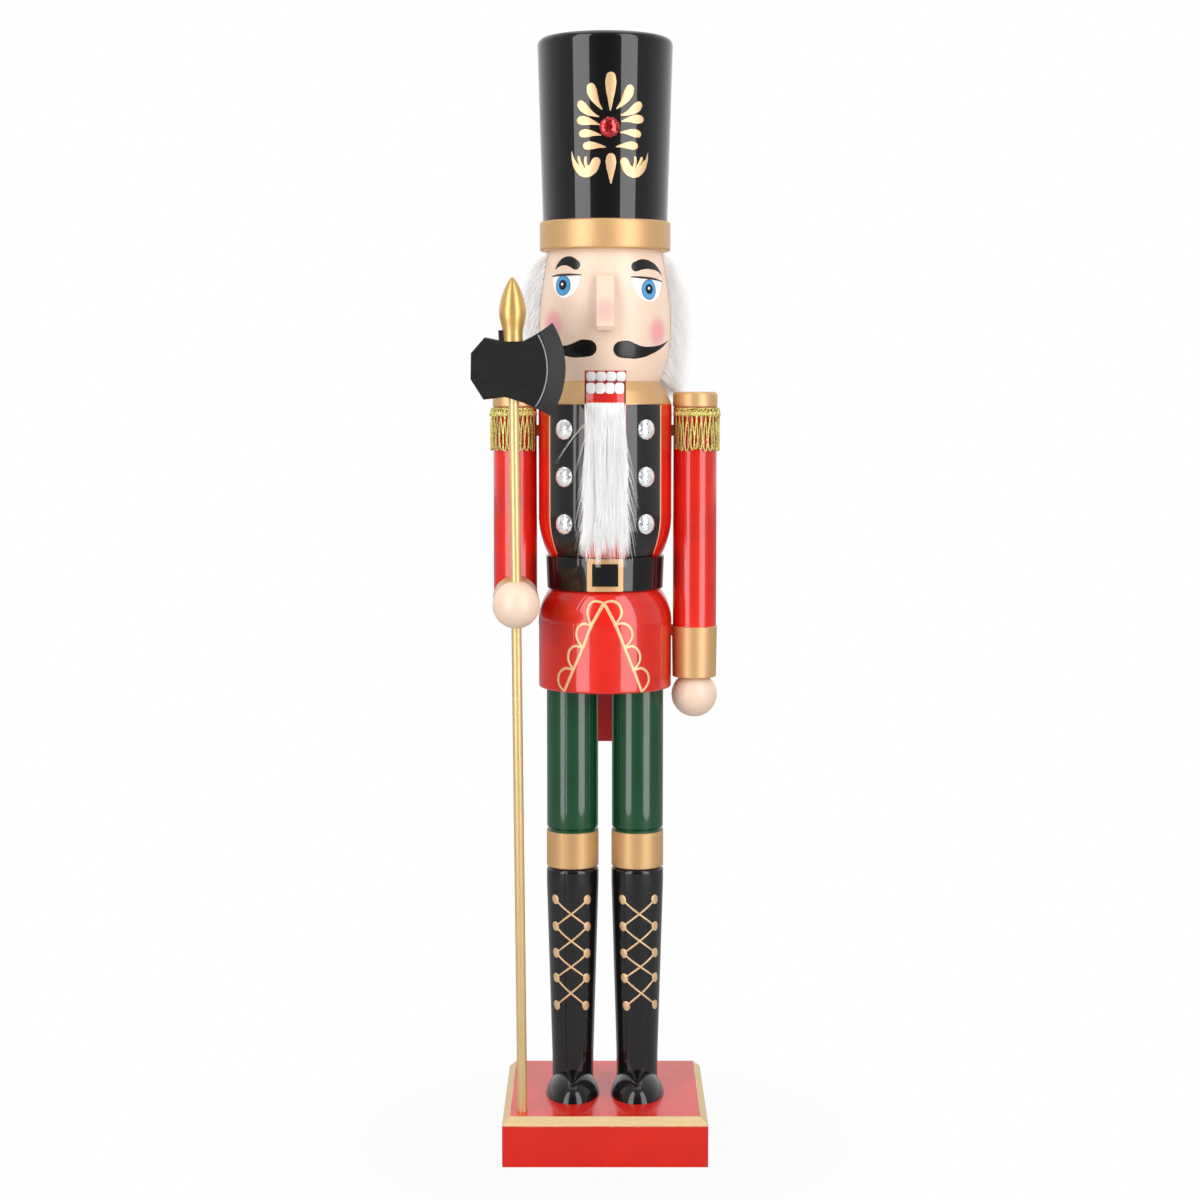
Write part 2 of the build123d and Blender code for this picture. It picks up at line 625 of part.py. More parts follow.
AXE_BEVEL_LENGTH = 9.0
AXE_BEVEL_DEPTH = 3.2
AXE_EDGE_BREAK = 0.5

with BuildPart() as axe_head:
    with BuildSketch(staff_plane.offset(-AXE_THICKNESS / 2)):
        with BuildLine():
            poll = Polyline(
                (5.4, FINIAL_BOTTOM),
                (-5.4, FINIAL_BOTTOM),
                (-14.7, 421.4),
                (-21.8, 413.5),
                (-22.2, 399.9),
                (-15.6, 389.2),
                (-4.5, 390.5),
            )
            ThreePointArc(poll @ 1, (8, 386.2), (19.4, 380.1))
            ThreePointArc((19.4, 380.1), (27.3, 405.5), (20.6, 428.8))
            ThreePointArc((20.6, 428.8), (12.6, 423.2), poll @ 0)
        make_face()
    extrude(amount=AXE_THICKNESS)
    cutting_side = axe_head.faces().sort_by(Axis.X)[-1]
    for broad_face in axe_head.faces().filter_by(GeomType.PLANE).sort_by(SortBy.AREA)[-2:]:
        rim = [edge for edge in broad_face.edges() if edge in cutting_side.edges()]
        chamfer(rim, AXE_BEVEL_LENGTH, AXE_BEVEL_DEPTH, reference=broad_face)
    outlines = [face.edges() for face in axe_head.faces().filter_by(GeomType.PLANE).sort_by(SortBy.AREA)[-2:]]
    for outline in outlines:
        chamfer(outline, AXE_EDGE_BREAK)
    bore(STAFF_FOOT, staff_direction, 600, STAFF_R + 0.02)
finish(axe_head, "axe_head")

# spear point turned in one piece and pushed on to the end of the pole
FINIAL_OUTLINE = [(6.5, 10.6), (7.1, 14.5), (6.5, 19.2), (4.0, 27.2)]  # radius, height above its foot
FINIAL_FOOT_R = 5.2
FINIAL_LENGTH = 33.0
finial_foot = STAFF_FOOT + staff_direction * FINIAL_BOTTOM

with BuildPart() as spear_finial:
    with BuildSketch(staff_plane):
        with BuildLine():
            foot = Polyline(
                (0, FINIAL_BOTTOM),
                (FINIAL_FOOT_R, FINIAL_BOTTOM),
                (FINIAL_FOOT_R, FINIAL_BOTTOM + 2),
            )
            sides = Spline(
                foot @ 1,
                *[(radius, FINIAL_BOTTOM + height) for radius, height in FINIAL_OUTLINE],
                (0.8, FINIAL_BOTTOM + FINIAL_LENGTH - 0.4),
            )
            Polyline(sides @ 1, (0, FINIAL_BOTTOM + FINIAL_LENGTH), (0, FINIAL_BOTTOM))
        make_face()
    revolve(axis=Axis(STAFF_FOOT, staff_direction))
    spigot_hole = POLE_LENGTH - FINIAL_BOTTOM + 1
    bore(finial_foot - staff_direction, staff_direction, 1 + spigot_hole, STAFF_R + 0.02)
finish(spear_finial, "spear_finial")
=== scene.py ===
# %% [markdown]
# # A painted nutcracker soldier
# The turned and sawn wooden parts arrive finished from the CAD model, in metres, standing on Z = 0
# and facing -Y. This lesson paints them, and makes what a turner can't: the painted lines and
# features, the glued stones, the fringes, the hair and the beard. Then it sets up the studio.

# %% Load the figure
import json
import math
import random

import bpy
import numpy as np
from mathutils import Matrix, Vector
from mathutils.bvhtree import BVHTree


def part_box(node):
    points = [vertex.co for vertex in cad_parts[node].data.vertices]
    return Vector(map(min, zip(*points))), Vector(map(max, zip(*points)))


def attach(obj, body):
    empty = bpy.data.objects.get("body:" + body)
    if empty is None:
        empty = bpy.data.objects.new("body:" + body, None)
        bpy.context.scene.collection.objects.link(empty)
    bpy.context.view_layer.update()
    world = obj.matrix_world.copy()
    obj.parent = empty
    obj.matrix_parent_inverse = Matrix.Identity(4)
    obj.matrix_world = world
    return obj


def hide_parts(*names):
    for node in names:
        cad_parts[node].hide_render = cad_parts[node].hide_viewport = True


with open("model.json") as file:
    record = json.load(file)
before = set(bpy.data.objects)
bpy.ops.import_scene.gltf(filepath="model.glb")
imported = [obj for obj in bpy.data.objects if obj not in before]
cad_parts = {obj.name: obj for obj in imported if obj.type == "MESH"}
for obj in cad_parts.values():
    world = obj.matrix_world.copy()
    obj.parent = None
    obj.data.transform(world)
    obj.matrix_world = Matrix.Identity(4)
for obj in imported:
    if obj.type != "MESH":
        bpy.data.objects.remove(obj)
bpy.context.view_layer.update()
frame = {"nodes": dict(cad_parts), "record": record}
nodes = frame["nodes"]
MM = 0.001
SMOOTH_UNDER = math.radians(40)

# %% [markdown]
# ## Working by hand, in code
# Blender's operators act on whatever is selected, so a new primitive starts with nothing selected.
# A finished piece then rides on the body it is fixed to, and takes its name and finish.


# %% Small helpers
def select_none():
    bpy.ops.object.select_all(action="DESELECT")


def select_only(*objects):
    """Selects these objects alone and makes the last one active."""
    select_none()
    for thing in objects:
        thing.select_set(True)
    bpy.context.view_layer.objects.active = objects[-1]


def join(objects, name):
    """Joins several pieces into one mesh."""
    select_only(*objects)
    if len(objects) > 1:
        bpy.ops.object.join()
    joined = bpy.context.view_layer.objects.active
    joined.name = name
    joined.data.name = name
    return joined


def finish_piece(piece, body, material, smooth=True):
    """Gives a new piece its material, its place in the figure and its shading."""
    piece.data.materials.clear()
    piece.data.materials.append(material)
    select_only(piece)
    if smooth:
        bpy.ops.object.shade_smooth_by_angle(angle=SMOOTH_UNDER)
    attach(piece, body)
    print(f"{piece.name}: {len(piece.data.polygons)} faces on {body}")
    return piece


# %% [markdown]
# ## Mixing paint
# A material's patterns are sums, and sums read best as sums. `Wire` wraps one output of a shader
# node, so that `1 - mask * 0.4` adds the Math nodes by itself. `Shading` is one node tree; its `node`
# method adds any other node, given its settings and its inputs. `Paint` is a material's tree, with
# the Principled shader that most of these nodes feed.


# %% One output of a node
class Wire:
    """One output of a shader node. Arithmetic on it adds Math nodes."""

    def __init__(self, shading, socket):
        self.shading = shading
        self.socket = socket

    def maths(self, operation, *values):
        return self.shading.node("ShaderNodeMath", {"operation": operation}, *values)

    def __add__(self, other):
        return self.maths("ADD", self, other)

    def __radd__(self, other):
        return self.maths("ADD", other, self)

    def __sub__(self, other):
        return self.maths("SUBTRACT", self, other)

    def __rsub__(self, other):
        return self.maths("SUBTRACT", other, self)

    def __mul__(self, other):
        return self.maths("MULTIPLY", self, other)

    def __rmul__(self, other):
        return self.maths("MULTIPLY", other, self)

    def __neg__(self):
        return self.maths("MULTIPLY", self, -1)

    def __abs__(self):
        return self.maths("ABSOLUTE", self)

    def __gt__(self, other):
        return self.maths("GREATER_THAN", self, other)

    def __lt__(self, other):
        return self.maths("LESS_THAN", self, other)

    def angle_from(self, other):
        """The angle whose tangent is self / other."""
        return self.maths("ARCTAN2", self, other)

    def ramp(self, low, high):
        """0 below low, 1 above high, smooth between."""
        settings = {"interpolation_type": "SMOOTHSTEP"}
        return self.shading.node("ShaderNodeMapRange", settings, self, low, high)


# %% A tree of nodes
class Shading:
    """A node tree whose sockets take numbers, colours or wires."""

    def __init__(self, tree):
        self.tree = tree

    def plug(self, target, value):
        if isinstance(value, Wire):
            self.tree.links.new(value.socket, target)
        elif isinstance(value, tuple) and len(value) == 3 and len(target.default_value) == 4:
            target.default_value = (*value, 1.0)
        else:
            target.default_value = value

    def node(self, kind, settings=None, *values, output=0, **named):
        """Adds a node: its settings, then its inputs in order, then its inputs by name."""
        made = self.tree.nodes.new(kind)
        for key, value in (settings or {}).items():
            setattr(made, key, value)
        for target, value in zip(made.inputs, values):
            self.plug(target, value)
        for key, value in named.items():
            self.plug(made.inputs[key.replace("_", " ")], value)
        return Wire(self, made.outputs[output])

    def place(self):
        """The point being painted, in metres in the figure's frame."""
        return self.node("ShaderNodeTexCoord", output="Object")

    def split(self, vector):
        """The X, Y and Z of a vector."""
        made = self.tree.nodes.new("ShaderNodeSeparateXYZ")
        self.plug(made.inputs[0], vector)
        return [Wire(self, part) for part in made.outputs]

    def noise(self, scale, detail=2.0, stretch=(1, 1, 1)):
        """Soft random variation from 0 to 1, with scale features to a metre."""
        spot = self.node("ShaderNodeMapping", None, self.place(), Scale=stretch)
        return self.node("ShaderNodeTexNoise", None, Vector=spot, Scale=scale, Detail=detail)

    def blend(self, mask, first, second):
        """first where mask is 0, second where it is 1."""
        made = self.tree.nodes.new("ShaderNodeMix")
        made.data_type = "RGBA"
        self.plug(made.inputs["Factor"], mask)
        self.plug(made.inputs[6], first)
        self.plug(made.inputs[7], second)
        return Wire(self, made.outputs[2])

    def for_camera(self, seen, otherwise):
        """One shader for what the camera sees directly, and another for every other ray."""
        camera_ray = self.node("ShaderNodeLightPath", output="Is Camera Ray")
        return self.node("ShaderNodeMixShader", None, camera_ray, otherwise, seen)


# %% A material
class Paint(Shading):
    """A material with one Principled shader."""

    def __init__(self, name, **constants):
        self.material = bpy.data.materials.new(name)
        self.material.use_nodes = True
        super().__init__(self.material.node_tree)
        self.shader = self.tree.nodes["Principled BSDF"]
        for socket, value in constants.items():
            self.set(socket.replace("_", " "), value)

    def set(self, socket, value):
        """Sets one of the shader's own sockets to a constant or a wire."""
        self.plug(self.shader.inputs[socket], value)

    def bump(self, height, distance):
        """A surface raised by height, where 1 is distance metres."""
        self.set("Normal", self.node("ShaderNodeBump", None, Strength=1.0, Distance=distance, Height=height))


# %% Paint colours
def tint(red, green, blue):
    """A paint colour given in 0 to 255, as the linear light that the shader needs."""
    shades = (red, green, blue)
    return tuple(((c / 255 + 0.055) / 1.055) ** 2.4 if c > 10 else c / 255 / 12.92 for c in shades)


print("half grey paint reflects", round(tint(128, 128, 128)[0], 3), "of the light")


# %% [markdown]
# ## The camera
# It stands level with the mouth, 1.28 m in front, and looks down by 5 degrees. A long lens keeps the
# hat and the plinth in proportion.

# %% Place the camera
CAMERA_DISTANCE = 1.276
CAMERA_HEIGHT = 0.4236
CAMERA_PITCH = math.radians(5.35)
CAMERA_ASIDE = -0.0028
CAMERA_LENS = 69.3

bpy.ops.object.camera_add(location=(CAMERA_ASIDE, -CAMERA_DISTANCE, CAMERA_HEIGHT))
camera = bpy.context.object
camera.rotation_euler = (math.radians(90) - CAMERA_PITCH, 0, 0)
camera.data.sensor_width = 36
camera.data.lens = CAMERA_LENS
camera.data.clip_start = 0.05
bpy.context.scene.camera = camera
print(f"camera {CAMERA_DISTANCE} m away, {CAMERA_LENS} mm lens")

# %% [markdown]
# ## The studio
# Gloss shows its surroundings, so the lights are shaped for their reflections: two tall softboxes
# in front, left and right, draw one bright strip each down every turned part, and the space between
# them, where the camera stands, is dark and draws the black centre line. The floor is plain
# and pale. The world is white behind the figure and dimmer in front of it; the camera itself always
# sees it as white.

# %% Two strip softboxes and a top light
STRIP_DISTANCE = 0.88
STRIP_ANGLE = math.radians(41)
STRIP_WIDTH = 0.45
STRIP_HEIGHT = 1.6
STRIP_POWER = 9.0
TOP_LIGHT_PLACE = (0, 0.2, 1.9)
TOP_LIGHT_SIDE = 1.2
TOP_LIGHT_POWER = 5.0


def softbox(name, place, aim, size, power):
    """An area light that lights and reflects but isn't seen by the camera itself."""
    bpy.ops.object.light_add(type="AREA", location=place)
    light = bpy.context.object
    light.name = name
    light.data.shape = "RECTANGLE"
    light.data.size, light.data.size_y = size
    light.data.energy = power
    light.rotation_euler = (Vector(aim) - Vector(place)).to_track_quat("-Z", "Y").to_euler()
    light.visible_camera = False
    return light


for label, side in (("left", 1), ("right", -1)):
    across = side * STRIP_DISTANCE * math.sin(STRIP_ANGLE)
    forward = -STRIP_DISTANCE * math.cos(STRIP_ANGLE)
    middle = STRIP_HEIGHT / 2 + 0.02
    strip_size = (STRIP_WIDTH, STRIP_HEIGHT)
    softbox(f"strip_{label}", (across, forward, middle), (0, 0, middle), strip_size, STRIP_POWER)
softbox("overhead", TOP_LIGHT_PLACE, (0, 0, 0), (TOP_LIGHT_SIDE, TOP_LIGHT_SIDE), TOP_LIGHT_POWER)

# %% The world behind the lights
WALL_GREYS = ((0.12, 0.06), (0.3, 0.36), (0.55, 0.66), (0.8, 1.0))
NEAREST_GREY, FARTHEST_GREY = 0.05, 1.0
WALL_STRENGTH = 0.9

world = bpy.data.worlds.new("studio")
bpy.context.scene.world = world
world.use_nodes = True
world.node_tree.nodes.clear()
sky = Shading(world.node_tree)
from_front_to_back = sky.split(sky.node("ShaderNodeTexCoord", output="Generated"))[1] * 0.5 + 0.5
walls = sky.node("ShaderNodeValToRGB", None, from_front_to_back)
stops = walls.socket.node.color_ramp.elements
for stop, grey in zip(stops, (NEAREST_GREY, FARTHEST_GREY)):
    stop.color = (grey, grey, grey, 1)
for place, grey in WALL_GREYS:
    stops.new(place).color = (grey, grey, grey, 1)
backdrop = sky.for_camera(
    sky.node("ShaderNodeBackground", None, (1.0, 1.0, 1.0), 1.0),
    sky.node("ShaderNodeBackground", None, walls, WALL_STRENGTH),
)
world_output = sky.tree.nodes.new("ShaderNodeOutputWorld")
sky.plug(world_output.inputs["Surface"], backdrop)
bpy.context.scene.view_settings.view_transform = "Standard"
print("the world's walls have", len(stops), "greys")

# %% [markdown]
# ## Lacquer
# The reds, blacks and greens are sprayed gloss lacquer on turned wood. A clear coat over a slightly
# rough colour gives the deep shine. Lathe marks show as faint rings through it, and the spray
# leaves a fine orange peel, so reflections waver a little.

# %% Sprayed gloss lacquer
RED = tint(216, 27, 8)
BLACK = tint(15, 13, 15)
GREEN = tint(0, 66, 32)
PEEL_DEPTH = 0.06 * MM


def shade_variation(paint, colour, amount=0.12):
    """The colour, a little lighter and darker in soft clouds and fine specks."""
    clouds = paint.noise(35, 3)
    darker = tuple(c * (1 - amount) for c in colour)
    lighter = tuple(min(1, c * (1 + amount)) for c in colour)
    return paint.blend(clouds.ramp(0.3, 0.7), darker, lighter)


def sprayed(paint, colour):
    """Gives a paint its colour, and the faint lathe rings and orange peel of sprayed wood."""
    paint.set("Base Color", colour)
    paint.set("Roughness", 0.3 + paint.noise(160, 3) * 0.12)
    rings = paint.noise(6, 2, stretch=(1, 1, 160))
    peel = paint.noise(520, 2)
    paint.bump(rings * 0.6 + peel * 0.4, PEEL_DEPTH)
    return paint


def lacquer(name, colour, sheen=0.3, coat=0.95, haze=0.035):
    """Gloss lacquer in one colour; sheen is how much the colour itself shines under its clear coat."""
    paint = Paint(name, Coat_Roughness=haze, Coat_IOR=1.5, Coat_Weight=coat, Specular_IOR_Level=sheen)
    return sprayed(paint, shade_variation(paint, colour))


red_lacquer = lacquer("red_lacquer", RED)
black_lacquer = lacquer("black_lacquer", BLACK, sheen=0.1)
green_lacquer = lacquer("green_lacquer", GREEN)
print("lacquers:", ", ".join(paint.material.name for paint in (red_lacquer, black_lacquer, green_lacquer)))

# %% [markdown]
# ## Gold paint
# Bronze powder in varnish: a warm metal that never gets as sharp as polished brass. Tiny flakes lie
# at slightly different angles, and the brush or the lathe leaves fine rings.


# %% Satin gold paint
def gold_paint(name, colour, roughness=0.36, rings_along=2):
    """Satin gold with fine rings across one axis: 0 for X, 1 for Y, 2 for Z."""
    paint = Paint(name, Metallic=0.55, Coat_Weight=0.35, Coat_Roughness=0.3)
    flakes = paint.noise(2600, 1)
    clouds = paint.noise(60, 3)
    deep = tuple(c * 0.86 for c in colour)
    pale = tuple(min(1, c * 1.12) for c in colour)
    paint.set("Base Color", paint.blend(clouds * 0.5 + flakes * 0.5, deep, pale))
    stretch = [4, 4, 4]
    stretch[rings_along] = 420
    rings = paint.noise(3, 2, stretch=tuple(stretch))
    paint.set("Roughness", roughness + rings * 0.14 - 0.07)
    paint.bump(rings * 0.6 + flakes * 0.4, 0.04 * MM)
    return paint


gold = gold_paint("gold_paint", tint(216, 172, 118), 0.46)
pale_gold = gold_paint("pale_gold_paint", tint(228, 196, 138), 0.38)
finial_gold = gold_paint("finial_gold_paint", tint(212, 170, 100), 0.32)
print("golds:", ", ".join(paint.material.name for paint in (gold, pale_gold, finial_gold)))

# %% [markdown]
# ## Paint that changes colour on one part
# The torso is red with black lapels that wrap round the sides, and the plinth is red with a gold
# bevel along its top edge. On the real figure each colour is masked off and sprayed. Here a mask is
# worked out from the place on the part, so the border is sharp and stays with the wood.


# %% Torso
LAPEL_HALF_ANGLE = math.radians(55)
CENTRE_STRIP = 11.2 * MM

torso_paint = Paint(
    "torso_lacquer", Coat_Weight=0.95, Coat_Roughness=0.035, Coat_IOR=1.5, Specular_IOR_Level=0.2
)
x, y, z = torso_paint.split(torso_paint.place())
lapel = (abs(x.angle_from(-y)) < LAPEL_HALF_ANGLE) * (abs(x) > CENTRE_STRIP)
red_cloth, black_cloth = (shade_variation(torso_paint, colour) for colour in (RED, BLACK))
sprayed(torso_paint, torso_paint.blend(lapel, red_cloth, black_cloth))
print("the torso's paint has", len(torso_paint.tree.nodes), "nodes")

# %% Plinth
BEVEL_INNER = 52.2 * MM
BEVEL_FOOT = 22.9 * MM

plinth_paint = Paint(
    "plinth_lacquer", Coat_Weight=0.6, Coat_Roughness=0.03, Coat_IOR=1.5, Specular_IOR_Level=0.25
)
x, y, z = plinth_paint.split(plinth_paint.place())
outer = x.maths("MAXIMUM", abs(x), abs(y))
wobble = plinth_paint.noise(90, 2) * 0.7 * MM
bevel = (outer + wobble > BEVEL_INNER) * (z + wobble > BEVEL_FOOT)
flakes = plinth_paint.noise(2600, 1)
bright_gold = plinth_paint.blend(flakes, tint(226, 186, 128), tint(254, 232, 184))
red_wood = shade_variation(plinth_paint, RED, 0.04)
plinth_paint.set("Base Color", plinth_paint.blend(bevel, red_wood, bright_gold))
plinth_paint.set("Metallic", bevel * 0.9)
plinth_paint.set("Coat Weight", 0.6 - bevel * 0.4)
plinth_paint.set("Roughness", 0.3 + plinth_paint.noise(160, 3) * 0.1 + bevel * 0.06)
plinth_paint.bump(plinth_paint.noise(420, 2) * 0.5 + flakes * bevel * 0.4, PEEL_DEPTH)
print("the plinth's paint has", len(plinth_paint.tree.nodes), "nodes")

# %% [markdown]
# ## The face, the wood and the metal
# The head is sprayed in a satin flesh colour, with pink dabbed on the cheeks and under the nose
# while the paint is wet, so its edge is soft. The pegs are bare beech, the lever's pin is steel, and
# the axe is cast, brushed and blackened.

# %% Skin with its blush
SKIN = tint(236, 208, 186)
BLUSH = tint(236, 146, 158)
BLUSH_DABS = (  # centre and radius in mm, and how strong
    ((28.0, -21.5, 451.5), 10.5, 0.8), ((-28.0, -21.5, 455.0), 11.0, 0.8), ((0.0, -42.0, 462.0), 9.0, 0.5),
)

skin = Paint("flesh_satin", Coat_Weight=0.25, Coat_Roughness=0.22, Subsurface_Weight=0.06)
skin.shader.inputs["Subsurface Radius"].default_value = (0.004, 0.002, 0.001)
spot = skin.place()
dabs = []
for centre, radius, strength in BLUSH_DABS:
    there = tuple(c * MM for c in centre)
    away = skin.node("ShaderNodeVectorMath", {"operation": "DISTANCE"}, spot, there, output=1)
    dabs.append((1 - away.ramp(radius * 0.25 * MM, radius * MM)) * strength)
blush = (dabs[0] + dabs[1] + dabs[2]) * (0.85 + skin.noise(240, 3) * 0.3)
skin.set("Base Color", skin.blend(blush, shade_variation(skin, SKIN, 0.03), BLUSH))
skin.set("Roughness", 0.34 + skin.noise(200, 3) * 0.12)
skin.bump(skin.noise(6, 2, stretch=(1, 1, 160)) * 0.5 + skin.noise(420, 2) * 0.5, PEEL_DEPTH)
print("blush in", len(dabs), "dabs")

# %% Beech, steel and blackened iron
beech = Paint("beech", Roughness=0.5)
grain = beech.noise(30, 5, stretch=(14, 14, 1))
beech.set("Base Color", beech.blend(grain.ramp(0.35, 0.65), tint(200, 158, 108), tint(226, 190, 142)))
beech.set("Roughness", 0.45 + grain * 0.2)
beech.bump(grain, 0.1 * MM)

steel = Paint("steel", Metallic=1.0)
steel.set("Base Color", steel.blend(steel.noise(300, 2), tint(150, 150, 152), tint(190, 190, 192)))
steel.set("Roughness", 0.22 + steel.noise(900, 2) * 0.2)

axe_black = Paint(
    "blackened_axe", Metallic=0.15, Coat_Weight=0.12, Coat_Roughness=0.3, Specular_IOR_Level=0.3
)
brushing = axe_black.noise(60, 3, stretch=(1, 1, 12))
axe_black.set("Base Color", axe_black.blend(brushing, tint(16, 15, 17), tint(30, 29, 31)))
axe_black.set("Roughness", 0.38 + brushing * 0.16)
axe_black.bump(brushing * 0.6 + axe_black.noise(700, 2) * 0.4, 0.05 * MM)
print("bare wood and metal:", ", ".join(paint.material.name for paint in (beech, steel, axe_black)))

# %% [markdown]
# ## Each part gets its paint
# A CAD part keeps its shape and place, and only the material in its slot changes.

# %% Paint the wooden parts
PAINT_OF_SLOT = {
    "plinth_paint": plinth_paint, "boot_black": black_lacquer, "shoe_black": black_lacquer,
    "belt_black": black_lacquer, "gold_paint": gold, "green_lacquer": green_lacquer, "beech_dowel": beech,
    "skirt_red": red_lacquer, "coat_paint": torso_paint, "red_lacquer": red_lacquer, "jaw_paint": red_lacquer,
    "face_paint": skin, "skin_paint": skin, "hat_black": black_lacquer, "steel_pin": steel,
    "staff_gold": pale_gold, "finial_gold": finial_gold, "axe_black": axe_black,
}
slot_of_node = {part["node"]: part["material_slot"] for part in frame["record"]["subparts"]}
for name, node in nodes.items():
    paint = PAINT_OF_SLOT.get(slot_of_node[name])
    if paint is None:
        continue
    node.data.materials.clear()
    node.data.materials.append(paint.material)
print("painted", sum(slot_of_node[name] in PAINT_OF_SLOT for name in nodes), "parts")

# %% [markdown]
# ## Painted lines
# The gold scrolls, the laces and the features of the face are single strokes of a loaded brush: a
# round blob where it lands, thinner where it lifts, and a little thick in the middle. A Bezier curve
# with its own radius at each point makes that shape. It is drawn flat, with X along the surface from
# its front line and Y up the figure, in millimetres. It is then made a mesh, pressed thin, and wrapped
# round the turned part by finding the wood's surface behind each point. Thin real paint stays crisp
# close up and keeps its own gloss.

# %% Draw a stroke
PAINT_THICKNESS = 0.12
LONGEST_STEP = 0.7
ROUND_END = ((0.45, 0.88), (0.8, 0.58), (0.97, 0.22))  # how far out and how wide, as shares


def round_tip(end, before):
    """The points that round off a stroke beyond its end."""
    x, y, half = end
    away = Vector((x - before[0], y - before[1])).normalized()
    return [(x + away.x * half * out, y + away.y * half * out, half * wide) for out, wide in ROUND_END]


def stroke(points, ends=(True, True), thin=PAINT_THICKNESS):
    """A brush stroke through (x, y, half width) points in mm. ends says which ends are round."""
    points = list(points)
    start = round_tip(points[0], points[1])[::-1] if ends[0] else []
    finish = round_tip(points[-1], points[-2]) if ends[1] else []
    points = start + points + finish
    select_none()
    bpy.ops.curve.primitive_bezier_curve_add()
    curve = bpy.context.object
    line = curve.data.splines[0]
    line.bezier_points.add(len(points) - 2)
    for knot, (x, y, half) in zip(line.bezier_points, points):
        knot.co = (x, y, 0)
        knot.radius = half
        knot.handle_left_type = knot.handle_right_type = "AUTO"
    curve.data.bevel_depth = 1.0
    curve.data.bevel_resolution = 4
    longest = max(math.dist(a[:2], b[:2]) for a, b in zip(points, points[1:]))
    curve.data.resolution_u = max(4, math.ceil(longest / LONGEST_STEP))
    curve.data.use_fill_caps = True
    bpy.ops.object.convert(target="MESH")
    drawn = bpy.context.object
    widest = max(half for x, y, half in points)
    for vertex in drawn.data.vertices:
        vertex.co.z *= thin / widest
    return drawn


# %% Find the wood behind a stroke
RAY_START = 0.2
surfaces = {}


def surface_of(node_name):
    """A wooden part's surface, ready for rays to be cast at it."""
    if node_name not in surfaces:
        mesh = nodes[node_name].data
        corners = [vertex.co.copy() for vertex in mesh.vertices]
        faces = [tuple(face.vertices) for face in mesh.polygons]
        surfaces[node_name] = BVHTree.FromPolygons(corners, faces)
    return surfaces[node_name]


def radius_at(node_name, angle, height, axis_x=0.0):
    """How far the wood's surface is from an upright axis, seen from outside, in metres."""
    out = Vector((math.sin(angle), -math.cos(angle), 0))
    axis = Vector((axis_x, 0, height))
    hit = surface_of(node_name).ray_cast(axis + out * RAY_START, -out)[0]
    return None if hit is None else (hit - axis).length


skirt_low, skirt_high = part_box("skirt")
skirt_radius = radius_at("skirt", 0.0, (skirt_low[2] + skirt_high[2]) / 2)
print(f"halfway down, the skirt's radius is {skirt_radius / MM:.1f} mm")


# %% Wrap strokes on the wood
def weld(piece):
    """Merges doubled points and turns every face outwards."""
    select_only(piece)
    bpy.ops.object.mode_set(mode="EDIT")
    bpy.ops.mesh.select_all(action="SELECT")
    bpy.ops.mesh.remove_doubles(threshold=1e-6)
    bpy.ops.mesh.normals_make_consistent(inside=False)
    bpy.ops.object.mode_set(mode="OBJECT")


def wrap(piece, node_name, axis_x=0.0, lift=0.0, standard=None):
    """Wraps a flat drawing, in mm, round a turned part. standard is a fixed radius for flat angles."""
    last = None
    for vertex in piece.data.vertices:
        along, height, thickness = vertex.co * MM
        around = standard or radius_at(node_name, 0.0, height, axis_x) or last
        angle = along / around
        for _ in range(2):
            radius = radius_at(node_name, angle, height, axis_x) or last or around
            angle = along / (standard or radius)
        last = radius
        out = radius + thickness + lift * MM
        vertex.co = (axis_x + out * math.sin(angle), -out * math.cos(angle), height)


def painted(strokes, name, node_name, body, slot, paint, **wrapping):
    """Joins strokes into one painted piece on a part."""
    piece = join(strokes, name)
    weld(piece)
    wrap(piece, node_name, **wrapping)
    return finish_piece(piece, body, paint.material)


# %% [markdown]
# ## Ornament gold
# A paler gold paint than the turned rings: thick, creamy strokes with a soft shine.

# %% Paints for the brush
ornament_gold = gold_paint("ornament_gold", tint(238, 198, 150), 0.42)
brush_black = lacquer("brush_black", BLACK, sheen=0.2, coat=0.5, haze=0.2)
brush_white = lacquer("brush_white", tint(250, 249, 248), coat=0.6, haze=0.1)
mouth_red = lacquer("mouth_red", tint(196, 16, 18))
iris_blue = lacquer("iris_blue", tint(70, 150, 205))
line_brown = lacquer("line_brown", tint(52, 34, 30))
print(len(bpy.data.materials), "materials so far, the wooden parts' own included")

# %% [markdown]
# ## The palmette on the hat
# Twelve drops fan out round the red stone: a tall one above it, one below it and five down each
# side. Each is broad at its outer end and runs to a point at the stone. Under them a scroll curls up
# to each side, with short dabs above it.

# %% Hat palmette
HAT_DROPS = (
    ((2.97, 585.0), (2.65, 567.5), 3.0), ((2.98, 542.9), (2.99, 529.3), 2.85),
    ((-7.6, 579.5), (-1.6, 567.9), 2.75), ((13.5, 578.9), (5.9, 568.4), 2.75),
    ((-13.3, 570.8), (-3.3, 564.2), 2.5), ((18.7, 570.6), (8.2, 565.1), 2.5),
    ((-13.6, 562.6), (-2.9, 560.0), 2.4), ((19.7, 563.4), (8.6, 561.9), 2.4),
    ((-12.5, 555.7), (-2.1, 554.6), 2.2), ((18.3, 555.7), (7.9, 556.1), 2.2),
    ((-10.3, 549.2), (0.4, 548.3), 2.2), ((16.4, 549.4), (5.7, 548.6), 2.2),
)


